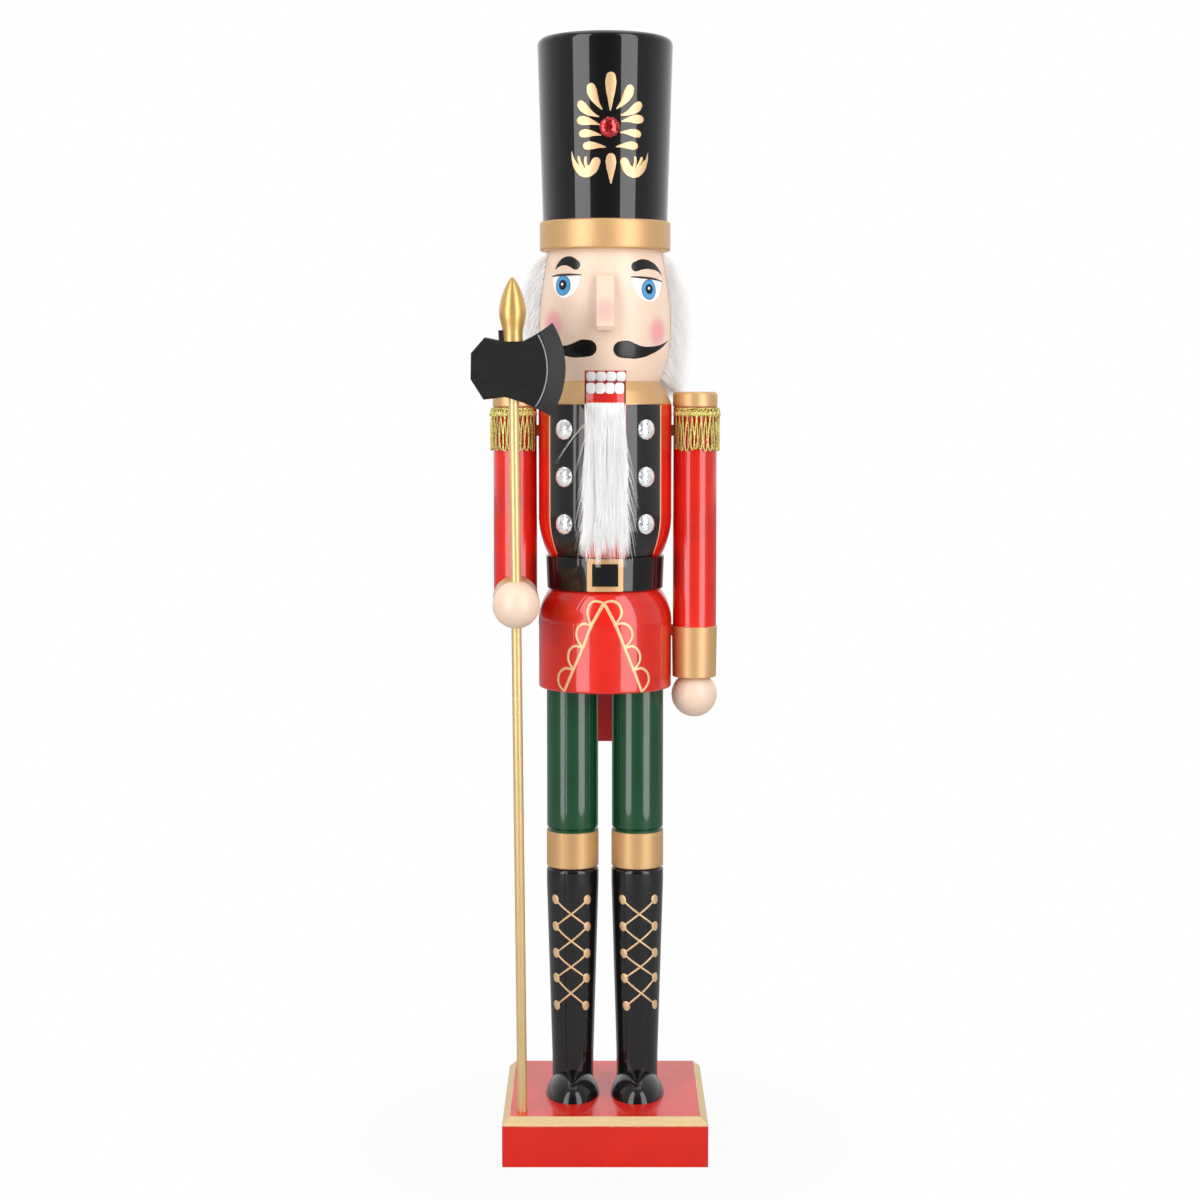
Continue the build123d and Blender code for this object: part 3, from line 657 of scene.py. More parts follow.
def drop(broad, tip, half):
    """A drop: a round broad end that narrows to a point, bowed a little like a petal."""
    (x0, y0), (x1, y1) = broad, tip
    bow = 0.07 if x0 > 3 else -0.07 if x0 < -1 else 0.0
    rise = 1 if y0 > 566 else -0.6
    path = []
    for share, width in ((0.0, 0.86), (0.14, 1.0), (0.4, 0.82), (0.72, 0.42), (1.0, 0.1)):
        sag = bow * rise * 4 * share * (1 - share)
        x = x0 + (x1 - x0) * share + (y0 - y1) * sag
        y = y0 + (y1 - y0) * share - (x0 - x1) * sag
        path.append((x, y, half * width))
    return stroke(path, ends=(True, False))


# %% Hat scrolls and dabs
HAT_SCROLLS = (
    ((-18.8, 546.6, 0.12), (-17.7, 541.8, 0.9), (-15.2, 537.6, 1.8),
     (-11.0, 535.3, 2.5), (-7.2, 536.8, 2.7), (-4.9, 540.8, 2.4)),
    ((24.8, 546.2, 0.12), (23.6, 541.6, 0.9), (20.9, 537.4, 1.8),
     (16.4, 535.2, 2.5), (12.6, 536.7, 2.7), (10.3, 540.8, 2.4)),
)
HAT_DABS = (
    ((-14.6, 543.2, 0.8), (-13.9, 540.6, 0.95), (-12.2, 537.8, 0.9)),
    ((-10.6, 543.0, 0.8), (-10.7, 540.6, 0.9), (-9.8, 538.0, 0.9)),
    ((20.6, 543.0, 0.8), (19.6, 540.6, 0.95), (17.8, 538.0, 0.9)),
    ((16.6, 543.2, 0.8), (16.6, 540.8, 0.9), (15.8, 538.0, 0.9)),
    ((22.6, 541.6, 0.6), (21.4, 539.6, 0.8), (20.0, 538.0, 0.8)),
)
strokes = [drop(*shape) for shape in HAT_DROPS]
strokes += [stroke(scroll, ends=(False, True)) for scroll in HAT_SCROLLS]
strokes += [stroke(dab) for dab in HAT_DABS]
painted(strokes, "hat_palmette", "hat_crown", "figure", "gold_paint", ornament_gold)

# %% [markdown]
# ## The front of the skirt
# Two lines open from the belt like a coat's edges, and each is trimmed with four loops of braid.

# %% Skirt braid
EDGE_LEFT = ((-0.65, 305.5), (-7.4, 293.5), (-12.4, 281.3), (-18.1, 269.2), (-24.0, 256.9))
EDGE_RIGHT = ((-0.65, 305.5), (5.4, 294.2), (10.7, 281.3), (16.0, 269.0), (21.2, 256.9))
LOOPS = (
    ((-1.2, 305.8), (-6.7, 306.2), (-9.6, 301.3), (-7.4, 293.5)),
    ((-7.6, 293.3), (-12.6, 294.3), (-16.2, 288.8), (-12.4, 281.3)),
    ((-12.6, 281.1), (-17.8, 281.9), (-21.4, 275.6), (-18.1, 269.2)),
    ((-18.3, 269.0), (-24.2, 269.2), (-28.4, 262.3), (-24.0, 256.9)),
    ((-0.2, 305.9), (5.4, 306.2), (9.0, 300.7), (5.4, 294.2)),
    ((5.6, 294.0), (11.0, 294.4), (15.2, 288.3), (10.7, 281.3)),
    ((10.9, 281.1), (15.9, 281.9), (20.1, 275.2), (16.0, 269.0)),
    ((16.2, 268.8), (21.8, 269.5), (26.0, 262.9), (21.2, 256.9)),
)
EDGE_HALF_WIDTH = 0.82
LOOP_HALF_WIDTHS = (0.55, 0.7, 0.72, 0.55)

strokes = [stroke([(x, y, EDGE_HALF_WIDTH) for x, y in edge]) for edge in (EDGE_LEFT, EDGE_RIGHT)]
strokes += [stroke([(x, y, half) for (x, y), half in zip(loop, LOOP_HALF_WIDTHS)]) for loop in LOOPS]
painted(strokes, "skirt_braid", "skirt", "figure", "skirt_red", ornament_gold)

# %% [markdown]
# ## Boot laces
# Five pairs of dots with crossed lines between them, painted on the front of each boot.

# %% Laces
LACE_ROWS = (137.6, 122.3, 107.0, 92.8, 77.0)
LACES = {
    "right": (-18.1, (-10.5, -10.4, -10.2, -10.2, -10.0), (9.0, 9.0, 8.8, 8.5, 8.0)),
    "left": (18.1, (-9.0, -8.8, -8.3, -7.8, -6.6), (10.6, 10.9, 11.2, 11.4, 11.5)),
}
DOT_THICKNESS = 0.22

for side, (axis_x, inner, outer) in LACES.items():
    strokes = []
    for row, height in enumerate(LACE_ROWS):
        for x in (inner[row], outer[row]):
            dot = ((x - 0.15, height + 0.45, 2.35), (x + 0.15, height - 0.45, 2.25))
            strokes.append(stroke(dot, thin=DOT_THICKNESS))
        if row + 1 < len(LACE_ROWS):
            below = LACE_ROWS[row + 1]
            strokes.append(stroke(((inner[row], height, 0.56), (outer[row + 1], below, 0.44))))
            strokes.append(stroke(((outer[row], height, 0.56), (inner[row + 1], below, 0.44))))
    painted(
        strokes, f"boot_laces_{side}", f"boot_{side}", "figure", "gold_paint", ornament_gold,
        axis_x=axis_x * MM,
    )

# %% [markdown]
# ## The coat's piping
# A thin gold line runs down each side of the torso, where the black lapel meets the red coat.

# %% Piping
TORSO_RADIUS = 36.7
PIPING_BOTTOM, PIPING_TOP = 331.5, 411.6
PIPING_ARC = 35.4
PIPING_HALF_WIDTH = 0.55

piping_heights = np.linspace(PIPING_BOTTOM, PIPING_TOP, 24)
strokes = [stroke([(side * PIPING_ARC, z, PIPING_HALF_WIDTH) for z in piping_heights]) for side in (-1, 1)]
painted(
    strokes, "lapel_piping", "torso", "figure", "coat_paint", ornament_gold, standard=TORSO_RADIUS * MM
)

# %% [markdown]
# ## The axe's bright edge line and wedge
# The axe is blackened, and where its bevel starts a bright line is painted on: a painted highlight,
# the light that the bevel's edge catches. It is a stroke laid flat on the broad face and pressed on
# from in front. A small wedge driven in beside the staff keeps the head from turning, and stands a
# little proud of its top.

# %% Bevel line
BEVEL_LINE = (
    (-36.3, 411.9), (-35.05, 413.7), (-33.18, 417.4), (-31.75, 421.2), (-30.79, 425.2), (-30.3, 429.3),
    (-30.31, 433.4), (-30.8, 437.5), (-31.77, 441.5), (-33.21, 445.4), (-34.8, 448.5),
)
BEVEL_HALF_WIDTH = 0.34
AXE_FRONT = -68.6 * MM

line = stroke([(x, z, BEVEL_HALF_WIDTH) for x, z in BEVEL_LINE])
for vertex in line.data.vertices:
    x, z, thickness = vertex.co * MM
    hit = surface_of("axe_head").ray_cast(Vector((x, -RAY_START, z)), Vector((0, 1, 0)))[0]
    vertex.co = (x, (hit.y if hit else AXE_FRONT) - thickness, z)
# Painted highlight: a pale grey stroke stands in for the light that the bevel's edge catches.
edge_highlight_paint = Paint("edge_highlight_paint", Metallic=0.3, Coat_Weight=0.1)
highlight_streaks = edge_highlight_paint.noise(300, 2)
edge_highlight_paint.set("Base Color", edge_highlight_paint.blend(highlight_streaks, tint(112, 112, 116), tint(172, 172, 176)))
edge_highlight_paint.set("Roughness", 0.35 + edge_highlight_paint.noise(700, 2) * 0.2)
line = join([line], "axe_bevel_line")
weld(line)
finish_piece(line, "staff", edge_highlight_paint.material)

# %% Wedge
WEDGE_LOW, WEDGE_HIGH = (-55.4, -69.4, 445.2), (-53.3, -62.6, 451.3)
WEDGE_TAPER = 0.82
WEDGE_LEAN = 0.25


def round_edges(piece, width):
    """Rounds every edge of a piece by width, in mm."""
    rounded = piece.modifiers.new("rounded", "BEVEL")
    rounded.width = width * MM
    rounded.segments = 3
    select_only(piece)
    bpy.ops.object.modifier_apply(modifier="rounded")


select_none()
centre = [(low + high) / 2 * MM for low, high in zip(WEDGE_LOW, WEDGE_HIGH)]
bpy.ops.mesh.primitive_cube_add(size=1.0, location=centre)
wedge = bpy.context.object
wedge.scale = [(high - low) * MM for low, high in zip(WEDGE_LOW, WEDGE_HIGH)]
bpy.ops.object.transform_apply(location=True, rotation=True, scale=True)
for vertex in wedge.data.vertices:
    if vertex.co.z > centre[2]:
        vertex.co.y = centre[1] + (vertex.co.y - centre[1]) * WEDGE_TAPER
        vertex.co.x -= WEDGE_LEAN * MM
round_edges(wedge, 0.35)
wedge = join([wedge], "axe_wedge")
finish_piece(wedge, "staff", axe_black.material)

# %% [markdown]
# ## A stop between the arm and the skirt
# The left arm hangs straight, and a short dowel glued between its cuff and the skirt keeps it from
# swinging. Only the bit in the gap shows.

# %% Arm stop
STOP_ENDS = (35.9, 38.4)
STOP_HEIGHT = 287.5
STOP_RADIUS = 3.2

select_none()
bpy.ops.mesh.primitive_cylinder_add(
    vertices=32, radius=STOP_RADIUS * MM, depth=(STOP_ENDS[1] - STOP_ENDS[0]) * MM,
    location=(sum(STOP_ENDS) / 2 * MM, 0, STOP_HEIGHT * MM), rotation=(0, math.radians(90), 0),
)
arm_stop = bpy.context.object
bpy.ops.object.transform_apply(location=True, rotation=True, scale=True)
round_edges(arm_stop, 0.4)
arm_stop = join([arm_stop], "arm_stop_left")
finish_piece(arm_stop, "figure", red_lacquer.material)

# %% [markdown]
# ## The face
# The head is blank turned wood with a nose glued on, and everything else is painted: arched brows
# with a round inner end, a lid line, a white eye with a blue iris under it, a moustache that sweeps
# up at its ends, and a red mouth with square teeth. The lower teeth are on the jaw lever, so they
# drop with it.

# %% Brows, lids and moustache
BROWS = (
    ((-31.6, 484.8, 0.2), (-28.8, 487.2, 1.2), (-24.4, 489.0, 2.2), (-20.0, 488.8, 2.8), (-16.4, 486.9, 2.7)),
    ((38.8, 482.0, 0.2), (34.6, 484.8, 1.1), (28.6, 486.8, 2.1), (21.8, 487.4, 2.8), (17.0, 486.0, 2.7)),
)
MOUSTACHE = (
    ((-9.0, 442.5, 4.5), (-12.4, 442.4, 4.75), (-16.6, 441.5, 4.1), (-21.8, 441.2, 3.0),
     (-27.8, 442.1, 2.0), (-35.4, 444.2, 1.1), (-46.3, 449.2, 0.15)),
    ((8.7, 441.9, 4.5), (12.0, 441.8, 4.75), (16.2, 440.9, 4.1), (21.4, 440.6, 3.0),
     (27.6, 441.5, 2.0), (35.4, 443.4, 1.1), (46.5, 447.3, 0.15)),
)
LID_LINES = (
    ((-34.2, 481.2, 0.2), (-28.5, 481.7, 0.6), (-20.0, 481.8, 0.6), (-13.0, 481.5, 0.2)),
    ((14.0, 480.4, 0.2), (20.0, 480.3, 0.6), (30.0, 479.7, 0.6), (38.8, 478.6, 0.2)),
)
strokes = [stroke(brow, ends=(False, True)) for brow in BROWS]
strokes += [stroke(half, ends=(True, False)) for half in MOUSTACHE]
painted(strokes, "brows_and_moustache", "head", "figure", "face_paint", brush_black)
strokes = [stroke(lid) for lid in LID_LINES]
painted(strokes, "eyelids", "head", "figure", "face_paint", line_brown, lift=0.2)

# %% [markdown]
# ## The eyes
# Each eye is built up as it is painted: a white bowl below the lid line, a blue disc that the lid
# cuts off at the top, a black pupil, a dark rim, and a dot of white for the glint. A disc starts as a
# circle, is grown to a fine grid by inset rings so that it can bend round the head, and is cut
# straight across at the lid.

# %% Eye discs
RING_WIDTH = 0.17


def disc(centre, width, height, cut_above=None, lift=0.0, rings=5):
    """A thin painted disc in mm, cut straight across at cut_above."""
    select_none()
    bpy.ops.mesh.primitive_circle_add(vertices=40, radius=1.0, fill_type="NGON")
    made = bpy.context.object
    bpy.ops.object.mode_set(mode="EDIT")
    bpy.ops.mesh.select_all(action="SELECT")
    for _ in range(rings):
        bpy.ops.mesh.inset(thickness=RING_WIDTH, depth=0.0)
    bpy.ops.mesh.select_all(action="SELECT")
    bpy.ops.transform.resize(value=(width / 2, height / 2, 1))
    bpy.ops.transform.translate(value=(centre[0], centre[1], 0))
    if cut_above is not None:
        bpy.ops.mesh.bisect(
            plane_co=(0, cut_above, 0), plane_no=(0, 1, 0),
            clear_outer=True, clear_inner=False, use_fill=False,
        )
    bpy.ops.mesh.select_all(action="SELECT")
    bpy.ops.mesh.quads_convert_to_tris()
    bpy.ops.object.mode_set(mode="OBJECT")
    for vertex in made.data.vertices:
        vertex.co.z += lift
    return made


# %% Two eyes
EYES = {
    "right": {"iris": (-24.9, 476.1), "bowl": (-23.6, 481.4), "lid": 481.5, "size": (19.6, 24.0)},
    "left": {"iris": (25.9, 473.9), "bowl": (26.0, 479.8), "lid": 479.9, "size": (22.4, 24.6)},
}
for side, eye in EYES.items():
    x, y = eye["iris"]
    layers = (
        ("eye_white", disc(eye["bowl"], *eye["size"], eye["lid"], 0.06), brush_white),
        ("iris_rim", disc((x, y), 10.6, 11.0, eye["lid"], 0.1), line_brown),
        ("iris", disc((x, y), 9.8, 10.2, eye["lid"], 0.14), iris_blue),
        ("pupil", disc((x, y + 0.3), 5.4, 5.4, eye["lid"], 0.18, 3), brush_black),
        ("glint", disc((x - 0.3, y + 0.7), 1.5, 1.5, None, 0.23, 2), brush_white),
    )
    for label, piece, paint in layers:
        painted([piece], f"{label}_{side}", "head", "figure", "face_paint", paint)

# %% [markdown]
# ## The mouth
# The upper teeth are painted on the head over a red box, and the lower teeth on the lever. A tooth is
# a thick dab of white, so each one is a small pillow: a square with rounded corners, domed by inset
# rings that climb a little each time.

# %% One tooth
def pillow(centre, width, height, dome, corner=0.32, rings=4):
    """A domed dab of paint in mm, square with rounded corners."""
    select_none()
    bpy.ops.mesh.primitive_plane_add(size=2.0)
    made = bpy.context.object
    bpy.ops.object.mode_set(mode="EDIT")
    bpy.ops.mesh.select_all(action="SELECT")
    bpy.ops.mesh.bevel(offset=corner * 2, segments=5, affect="VERTICES")
    bpy.ops.mesh.select_all(action="SELECT")
    climb = 0.5
    for _ in range(rings):
        bpy.ops.mesh.inset(thickness=0.2, depth=climb)
        climb *= 0.45
    bpy.ops.mesh.select_all(action="SELECT")
    bpy.ops.transform.resize(value=(width / 2, height / 2, dome))
    bpy.ops.transform.translate(value=(centre[0], centre[1], 0.05))
    bpy.ops.mesh.quads_convert_to_tris()
    bpy.ops.object.mode_set(mode="OBJECT")
    return made


# %% Mouth box and teeth
def panel(left, right, bottom, top, steps=14):
    """A flat patch of paint in mm, cut into a grid so that it can bend."""
    select_none()
    bpy.ops.mesh.primitive_grid_add(x_subdivisions=steps, y_subdivisions=4, size=2.0)
    made = bpy.context.object
    bpy.ops.object.mode_set(mode="EDIT")
    bpy.ops.mesh.select_all(action="SELECT")
    bpy.ops.transform.resize(value=((right - left) / 2, (top - bottom) / 2, 1))
    bpy.ops.transform.translate(value=((left + right) / 2, (bottom + top) / 2, 0.04))
    bpy.ops.object.mode_set(mode="OBJECT")
    return made


MOUTH_BOX = (-11.3, 11.6, 424.75, 430.6)
UPPER_TEETH = (-7.6, -2.2, 3.2, 8.6)
LOWER_TEETH = (-7.8, -2.7, 2.5, 7.7)
UPPER_HEIGHT, LOWER_HEIGHT = 427.4, 421.2
TOOTH_DOME = 0.5

painted([panel(*MOUTH_BOX)], "upper_mouth", "head", "figure", "face_paint", mouth_red)
teeth = [pillow((x, UPPER_HEIGHT), 5.3, 5.3, TOOTH_DOME) for x in UPPER_TEETH]
painted(teeth, "upper_teeth", "head", "figure", "face_paint", brush_white)
teeth = [pillow((x, LOWER_HEIGHT), 5.1, 5.9, TOOTH_DOME) for x in LOWER_TEETH]
painted(teeth, "lower_teeth", "jaw_lever", "lever", "jaw_paint", brush_white)

# %% [markdown]
# ## Glued stones
# The coat's buttons and the jewel on the hat are round, foil-backed, faceted stones. A ring of twelve
# corners is extruded four times: first straight up, for the rim, then three times smaller and turned
# by half a step, so the sides fall into the triangles of a cut stone once they are split. Flat shading
# keeps the facets sharp, and the foil behind makes them flash, so the stone is shaded as a bright
# metal with a clear coat.

# %% Cut one stone
STONE_RADIUS = 5.5
FACETS = 12
STONE_TIERS = ((0.8, 1.0, 0), (0.9, 0.84, 0.5), (0.75, 0.6, 0.5), (0.45, 0.3, 0.5))  # rise, size, turn


def cut_stone():
    """A faceted stone in mm, flat on its back at the origin."""
    select_none()
    bpy.ops.mesh.primitive_circle_add(vertices=FACETS, radius=STONE_RADIUS, fill_type="NGON")
    stone = bpy.context.object
    bpy.ops.object.mode_set(mode="EDIT")
    bpy.ops.mesh.select_all(action="SELECT")
    size = 1.0
    for rise, next_size, turn in STONE_TIERS:
        bpy.ops.mesh.extrude_region_move(TRANSFORM_OT_translate={"value": (0, 0, rise)})
        shrink = next_size / size
        bpy.ops.transform.resize(value=(shrink, shrink, 1))
        bpy.ops.transform.rotate(
            value=turn * 2 * math.pi / FACETS, orient_axis="Z", center_override=(0, 0, 0)
        )
        size = next_size
    bpy.ops.mesh.select_all(action="SELECT")
    bpy.ops.mesh.quads_convert_to_tris(quad_method="SHORTEST_DIAGONAL")
    bpy.ops.mesh.normals_make_consistent(inside=False)
    bpy.ops.object.mode_set(mode="OBJECT")
    return stone


def set_stone(stone, angle, height, radius, turn):
    """Stands a stone on a turned part, its back just under the surface."""
    out = Vector((math.sin(angle), -math.cos(angle), 0))
    up = Vector((0, 0, 1))
    across = up.cross(out)
    seat = Matrix((across, up, out)).transposed().to_4x4()
    seat.translation = out * (radius - 0.15) * MM + up * height * MM
    stone.data.transform(seat @ Matrix.Scale(MM, 4) @ Matrix.Rotation(turn, 4, "Z"))


# %% Stone paints
# Painted light: a faint white glow brightens the clear stones.
clear_foil = Paint(
    "clear_stone_foil", Metallic=0.7, Coat_Weight=1.0, Coat_Roughness=0.02, Emission_Strength=0.16
)
clear_foil.set("Emission Color", (1.0, 1.0, 1.0))
glitter = clear_foil.noise(1300, 1)
flash = glitter.ramp(0.34, 0.42)
clear_foil.set("Base Color", clear_foil.blend(flash, tint(110, 112, 118), tint(252, 253, 255)))
clear_foil.set("Roughness", 0.08 + glitter * 0.14)
red_foil = Paint("red_stone_foil", Metallic=0.7, Coat_Weight=1.0, Coat_Roughness=0.02)
glitter = red_foil.noise(900, 1)
red_foil.set("Base Color", red_foil.blend(glitter.ramp(0.35, 0.65), tint(130, 6, 14), tint(235, 44, 52)))
red_foil.set("Roughness", 0.12 + glitter * 0.16)
print("stones are", 2 * STONE_RADIUS, "mm across and", sum(tier[0] for tier in STONE_TIERS), "mm high")

# %% Set the stones
random.seed(11)
STONE_ANGLE = math.radians(36.8)
STONE_HEIGHTS = (348.0, 373.5, 399.0)
buttons = []
for side in (-1, 1):
    for height in STONE_HEIGHTS:
        button = cut_stone()
        set_stone(button, side * STONE_ANGLE, height, TORSO_RADIUS, random.uniform(0, 1))
        buttons.append(button)
buttons = join(buttons, "coat_stones")
finish_piece(buttons, "figure", clear_foil.material, smooth=False)
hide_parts("coat_gems")

# %% Set the jewel
JEWEL_HEIGHT = 558.8
JEWEL_ANGLE = math.radians(3.6)
JEWEL_TURN = 0.2

jewel = cut_stone()
jewel_seat = radius_at("hat_crown", JEWEL_ANGLE, JEWEL_HEIGHT * MM) / MM
set_stone(jewel, JEWEL_ANGLE, JEWEL_HEIGHT, jewel_seat, JEWEL_TURN)
jewel = join([jewel], "hat_stone")
finish_piece(jewel, "figure", red_foil.material, smooth=False)
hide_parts("hat_gem")

# %% [markdown]
# ## Shoulder fringes
# A ready-made trim of metallic cord is glued round the top of each arm: a braided heading with a row
# of hanging loops. The loops are one long cord that goes up and down all the way round, so it is one
# Bezier curve with a bevel. Each loop leans and hangs a little differently.

# %% Gold cord
fringe_gold = Paint("fringe_cord", Metallic=0.65)
twist = fringe_gold.noise(1500, 2)
lit_strands = twist.ramp(0.3, 0.7)
fringe_gold.set("Base Color", fringe_gold.blend(lit_strands, tint(164, 144, 62), tint(242, 232, 150)))
fringe_gold.set("Roughness", 0.34 + twist * 0.2)
fringe_gold.bump(twist, 0.2 * MM)

ARM_X = 49.6
ARM_RADIUS = 12.0
GAP_BY_TORSO = math.radians(30)


def cord_round_arm(path, centre_x, facing, thickness, name):
    """A cord through (angle, height, distance from the arm's surface) points, in mm."""
    select_none()
    bpy.ops.curve.primitive_bezier_curve_add()
    cord = bpy.context.object
    cord.name = name
    line = cord.data.splines[0]
    line.bezier_points.add(len(path) - 2)
    for knot, (angle, height, stand_off) in zip(line.bezier_points, path):
        out = (ARM_RADIUS + stand_off) * MM
        knot.co = (centre_x * MM + facing * out * math.cos(angle), out * math.sin(angle), height * MM)
        knot.handle_left_type = knot.handle_right_type = "AUTO"
    cord.data.bevel_depth = thickness * MM
    cord.data.bevel_resolution = 1
    cord.data.resolution_u = 4
    cord.data.use_fill_caps = True
    bpy.ops.object.convert(target="MESH")
    return bpy.context.object


# %% Hanging loops
FRINGE_START = -math.pi + GAP_BY_TORSO
FRINGE_SPAN = 2 * math.pi - 2 * GAP_BY_TORSO
LOOPS_ROUND = 27
LOOP_TOP, LOOP_BOTTOM = 409.4, 387.4


def loop_path():
    """One cord that goes up and down all the way round."""
    path = []
    step = FRINGE_SPAN / LOOPS_ROUND
    for loop in range(LOOPS_ROUND):
        middle = FRINGE_START + (loop + 0.5) * step
        lean = random.uniform(-0.2, 0.2) * step
        drop_to = LOOP_BOTTOM + random.uniform(-0.7, 0.9)
        rise_to = LOOP_TOP + random.uniform(-0.6, 0.6)
        half_way = (rise_to + drop_to) / 2
        width = step * random.uniform(0.2, 0.34)
        out = random.uniform(0.7, 1.5)
        path += [
            (middle - step * 0.24, rise_to, 1.1),
            (middle - width + lean * 0.4, half_way, out),
            (middle - width * 1.1 + lean, drop_to + 1.7, out),
            (middle + lean, drop_to, out + 0.1),
            (middle + width * 1.1 + lean, drop_to + 1.7, out),
            (middle + width + lean * 0.4, half_way, out),
            (middle + step * 0.24, rise_to, 1.1),
        ]
    return path


# %% Braided heading
BRAID_HEIGHT, BRAID_SWING, BRAID_WAVES = 407.2, 1.1, 46
EDGE_HEIGHT, EDGE_KNOTS = 410.1, 60


def braid_path(phase):
    """One of the heading's three strands, as a wave that starts a third of a turn after the last."""
    path = []
    for knot in range(BRAID_WAVES * 4 + 1):
        angle = FRINGE_START + FRINGE_SPAN * knot / (BRAID_WAVES * 4)
        swing = knot * math.pi / 2 + phase * 2 * math.pi / 3
        height = BRAID_HEIGHT + BRAID_SWING * math.sin(swing) + random.uniform(-0.12, 0.12)
        path.append((angle, height, 1.2 + 0.4 * math.cos(swing)))
    return path


def edge_path():
    """The straight cord along the top of the heading."""
    return [
        (FRINGE_START + FRINGE_SPAN * knot / EDGE_KNOTS, EDGE_HEIGHT + random.uniform(-0.15, 0.15), 0.8)
        for knot in range(EDGE_KNOTS + 1)
    ]


# %% Both fringes
CORD_RADIUS = 0.42

for side, facing in (("left", 1), ("right", -1)):
    random.seed(21 if facing > 0 else 22)
    paths = [loop_path(), *(braid_path(phase) for phase in range(3)), edge_path()]
    cords = [cord_round_arm(path, facing * ARM_X, facing, CORD_RADIUS, "fringe_cord") for path in paths]
    fringe = join(cords, f"fringe_{side}")
    weld(fringe)
    finish_piece(fringe, "figure", fringe_gold.material)
    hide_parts(f"shoulder_fringe_{side}")

# %% [markdown]
# ## Hair and beard
# Both are strips of white long-pile fur, glued on with the pile combed down. Fur needs thousands of
# hairs, so each one is as light as it can be: a three-sided cone cut across three times. The hairs
# are copied with numpy, and each copy is bent along its own curve from its root to its tip. Hairs that
# stand close together share part of their tip's place, which gathers them into locks.

# %% One hair
select_none()
bpy.ops.mesh.primitive_cone_add(vertices=3, radius1=1.0, radius2=0.12, depth=1.0, location=(0, 0, 0.5))
hair_shape = bpy.context.object
bpy.ops.object.mode_set(mode="EDIT")
for cut in (0.25, 0.5, 0.75):
    bpy.ops.mesh.select_all(action="SELECT")
    bpy.ops.mesh.bisect(plane_co=(0, 0, cut), plane_no=(0, 0, 1))
bpy.ops.mesh.select_all(action="SELECT")
bpy.ops.mesh.quads_convert_to_tris()
bpy.ops.mesh.normals_make_consistent(inside=False)
bpy.ops.object.mode_set(mode="OBJECT")
bpy.ops.object.transform_apply(location=True, rotation=True, scale=True)
one_hair = np.array([vertex.co for vertex in hair_shape.data.vertices])
hair_faces = np.array([face.vertices for face in hair_shape.data.polygons])
bpy.data.objects.remove(hair_shape)
print(len(one_hair), "corners and", len(hair_faces), "faces to a hair")


def grow(name, roots, lifts, tips, widths, waviness, rng):
    """Bends a copy of the hair from each root, through its lift point, to its tip. All in mm."""
    count = len(roots)
    along = one_hair[:, 2][None, :, None]
    roots, lifts, tips = roots[:, None, :], lifts[:, None, :], tips[:, None, :]
    centre = (1 - along) ** 2 * roots + 2 * along * (1 - along) * lifts + along ** 2 * tips
    heading = (1 - along) * (lifts - roots) + along * (tips - lifts)
    heading /= np.linalg.norm(heading, axis=2, keepdims=True)
    any_side = rng.normal(size=(count, 1, 3))
    across = np.cross(heading, any_side)
    across /= np.linalg.norm(across, axis=2, keepdims=True)
    other = np.cross(heading, across)
    phase = rng.uniform(0, 2 * math.pi, (count, 1, 1))
    wave = waviness * along * np.sin(phase + along * rng.uniform(3, 7, (count, 1, 1)))
    outline_x, outline_y = one_hair[:, 0][None, :, None], one_hair[:, 1][None, :, None]
    corners = centre + across * wave
    corners = corners + widths[:, None, None] * (outline_x * across + outline_y * other)
    faces = hair_faces[None] + np.arange(count)[:, None, None] * len(one_hair)
    mesh = bpy.data.meshes.new(name)
    mesh.from_pydata((corners.reshape(-1, 3) * MM).tolist(), [], faces.reshape(-1, 3).tolist())
    mesh.update()
    piece = bpy.data.objects.new(name, mesh)
    bpy.context.scene.collection.objects.link(piece)
    return piece


# %% [markdown]
# ## Fur white
# Clean white fibre, uneven from lock to lock. It is rough, with a little sheen along the hairs. A
# faint painted glow stands in for the light that comes through the loose fur behind the face from
# behind; it is a little weaker over the beard, where the fur lies flat on the wood.

# %% Fur paint
# Painted light: the fur glows faintly white, a little less towards the front.
fur = Paint(
    "white_fur", Specular_IOR_Level=0.25, Sheen_Weight=0.3, Sheen_Roughness=0.4,
    Subsurface_Weight=0.25, Emission_Strength=0.08,
)
painted_glow_towards_back = fur.split(fur.place())[1].ramp(-30 * MM, -5 * MM)
fur.set("Emission Color", fur.blend(painted_glow_towards_back, (0.85, 0.85, 0.85), (1.0, 1.0, 1.0)))
fur.shader.inputs["Subsurface Radius"].default_value = (0.003, 0.003, 0.003)
locks = fur.noise(240, 3, stretch=(1, 1, 0.25))
fur.set("Base Color", fur.blend(locks.ramp(0.25, 0.75), tint(238, 238, 238), tint(251, 251, 251)))
fur.set("Roughness", 0.55 + locks * 0.25)
print("the fur's paint has", len(fur.tree.nodes), "nodes")

# %% [markdown]
# ## Hair round the back of the head
# The strip is glued from one temple round the back to the other. First comes its woven backing, a
# thin sheet that follows the head's turned shape. The hairs are rooted on it and hang to the collar,
# fullest at the height of the ears.

# %% The backing sheet
HEAD_HEIGHTS = (424.7, 433.3, 444.5, 456.0, 469.0, 482.0, 495.5)
HEAD_RADII = (29.4, 33.2, 35.5, 36.0, 35.2, 33.3, 30.8)
HAIR_FRONT_Y = 0.0

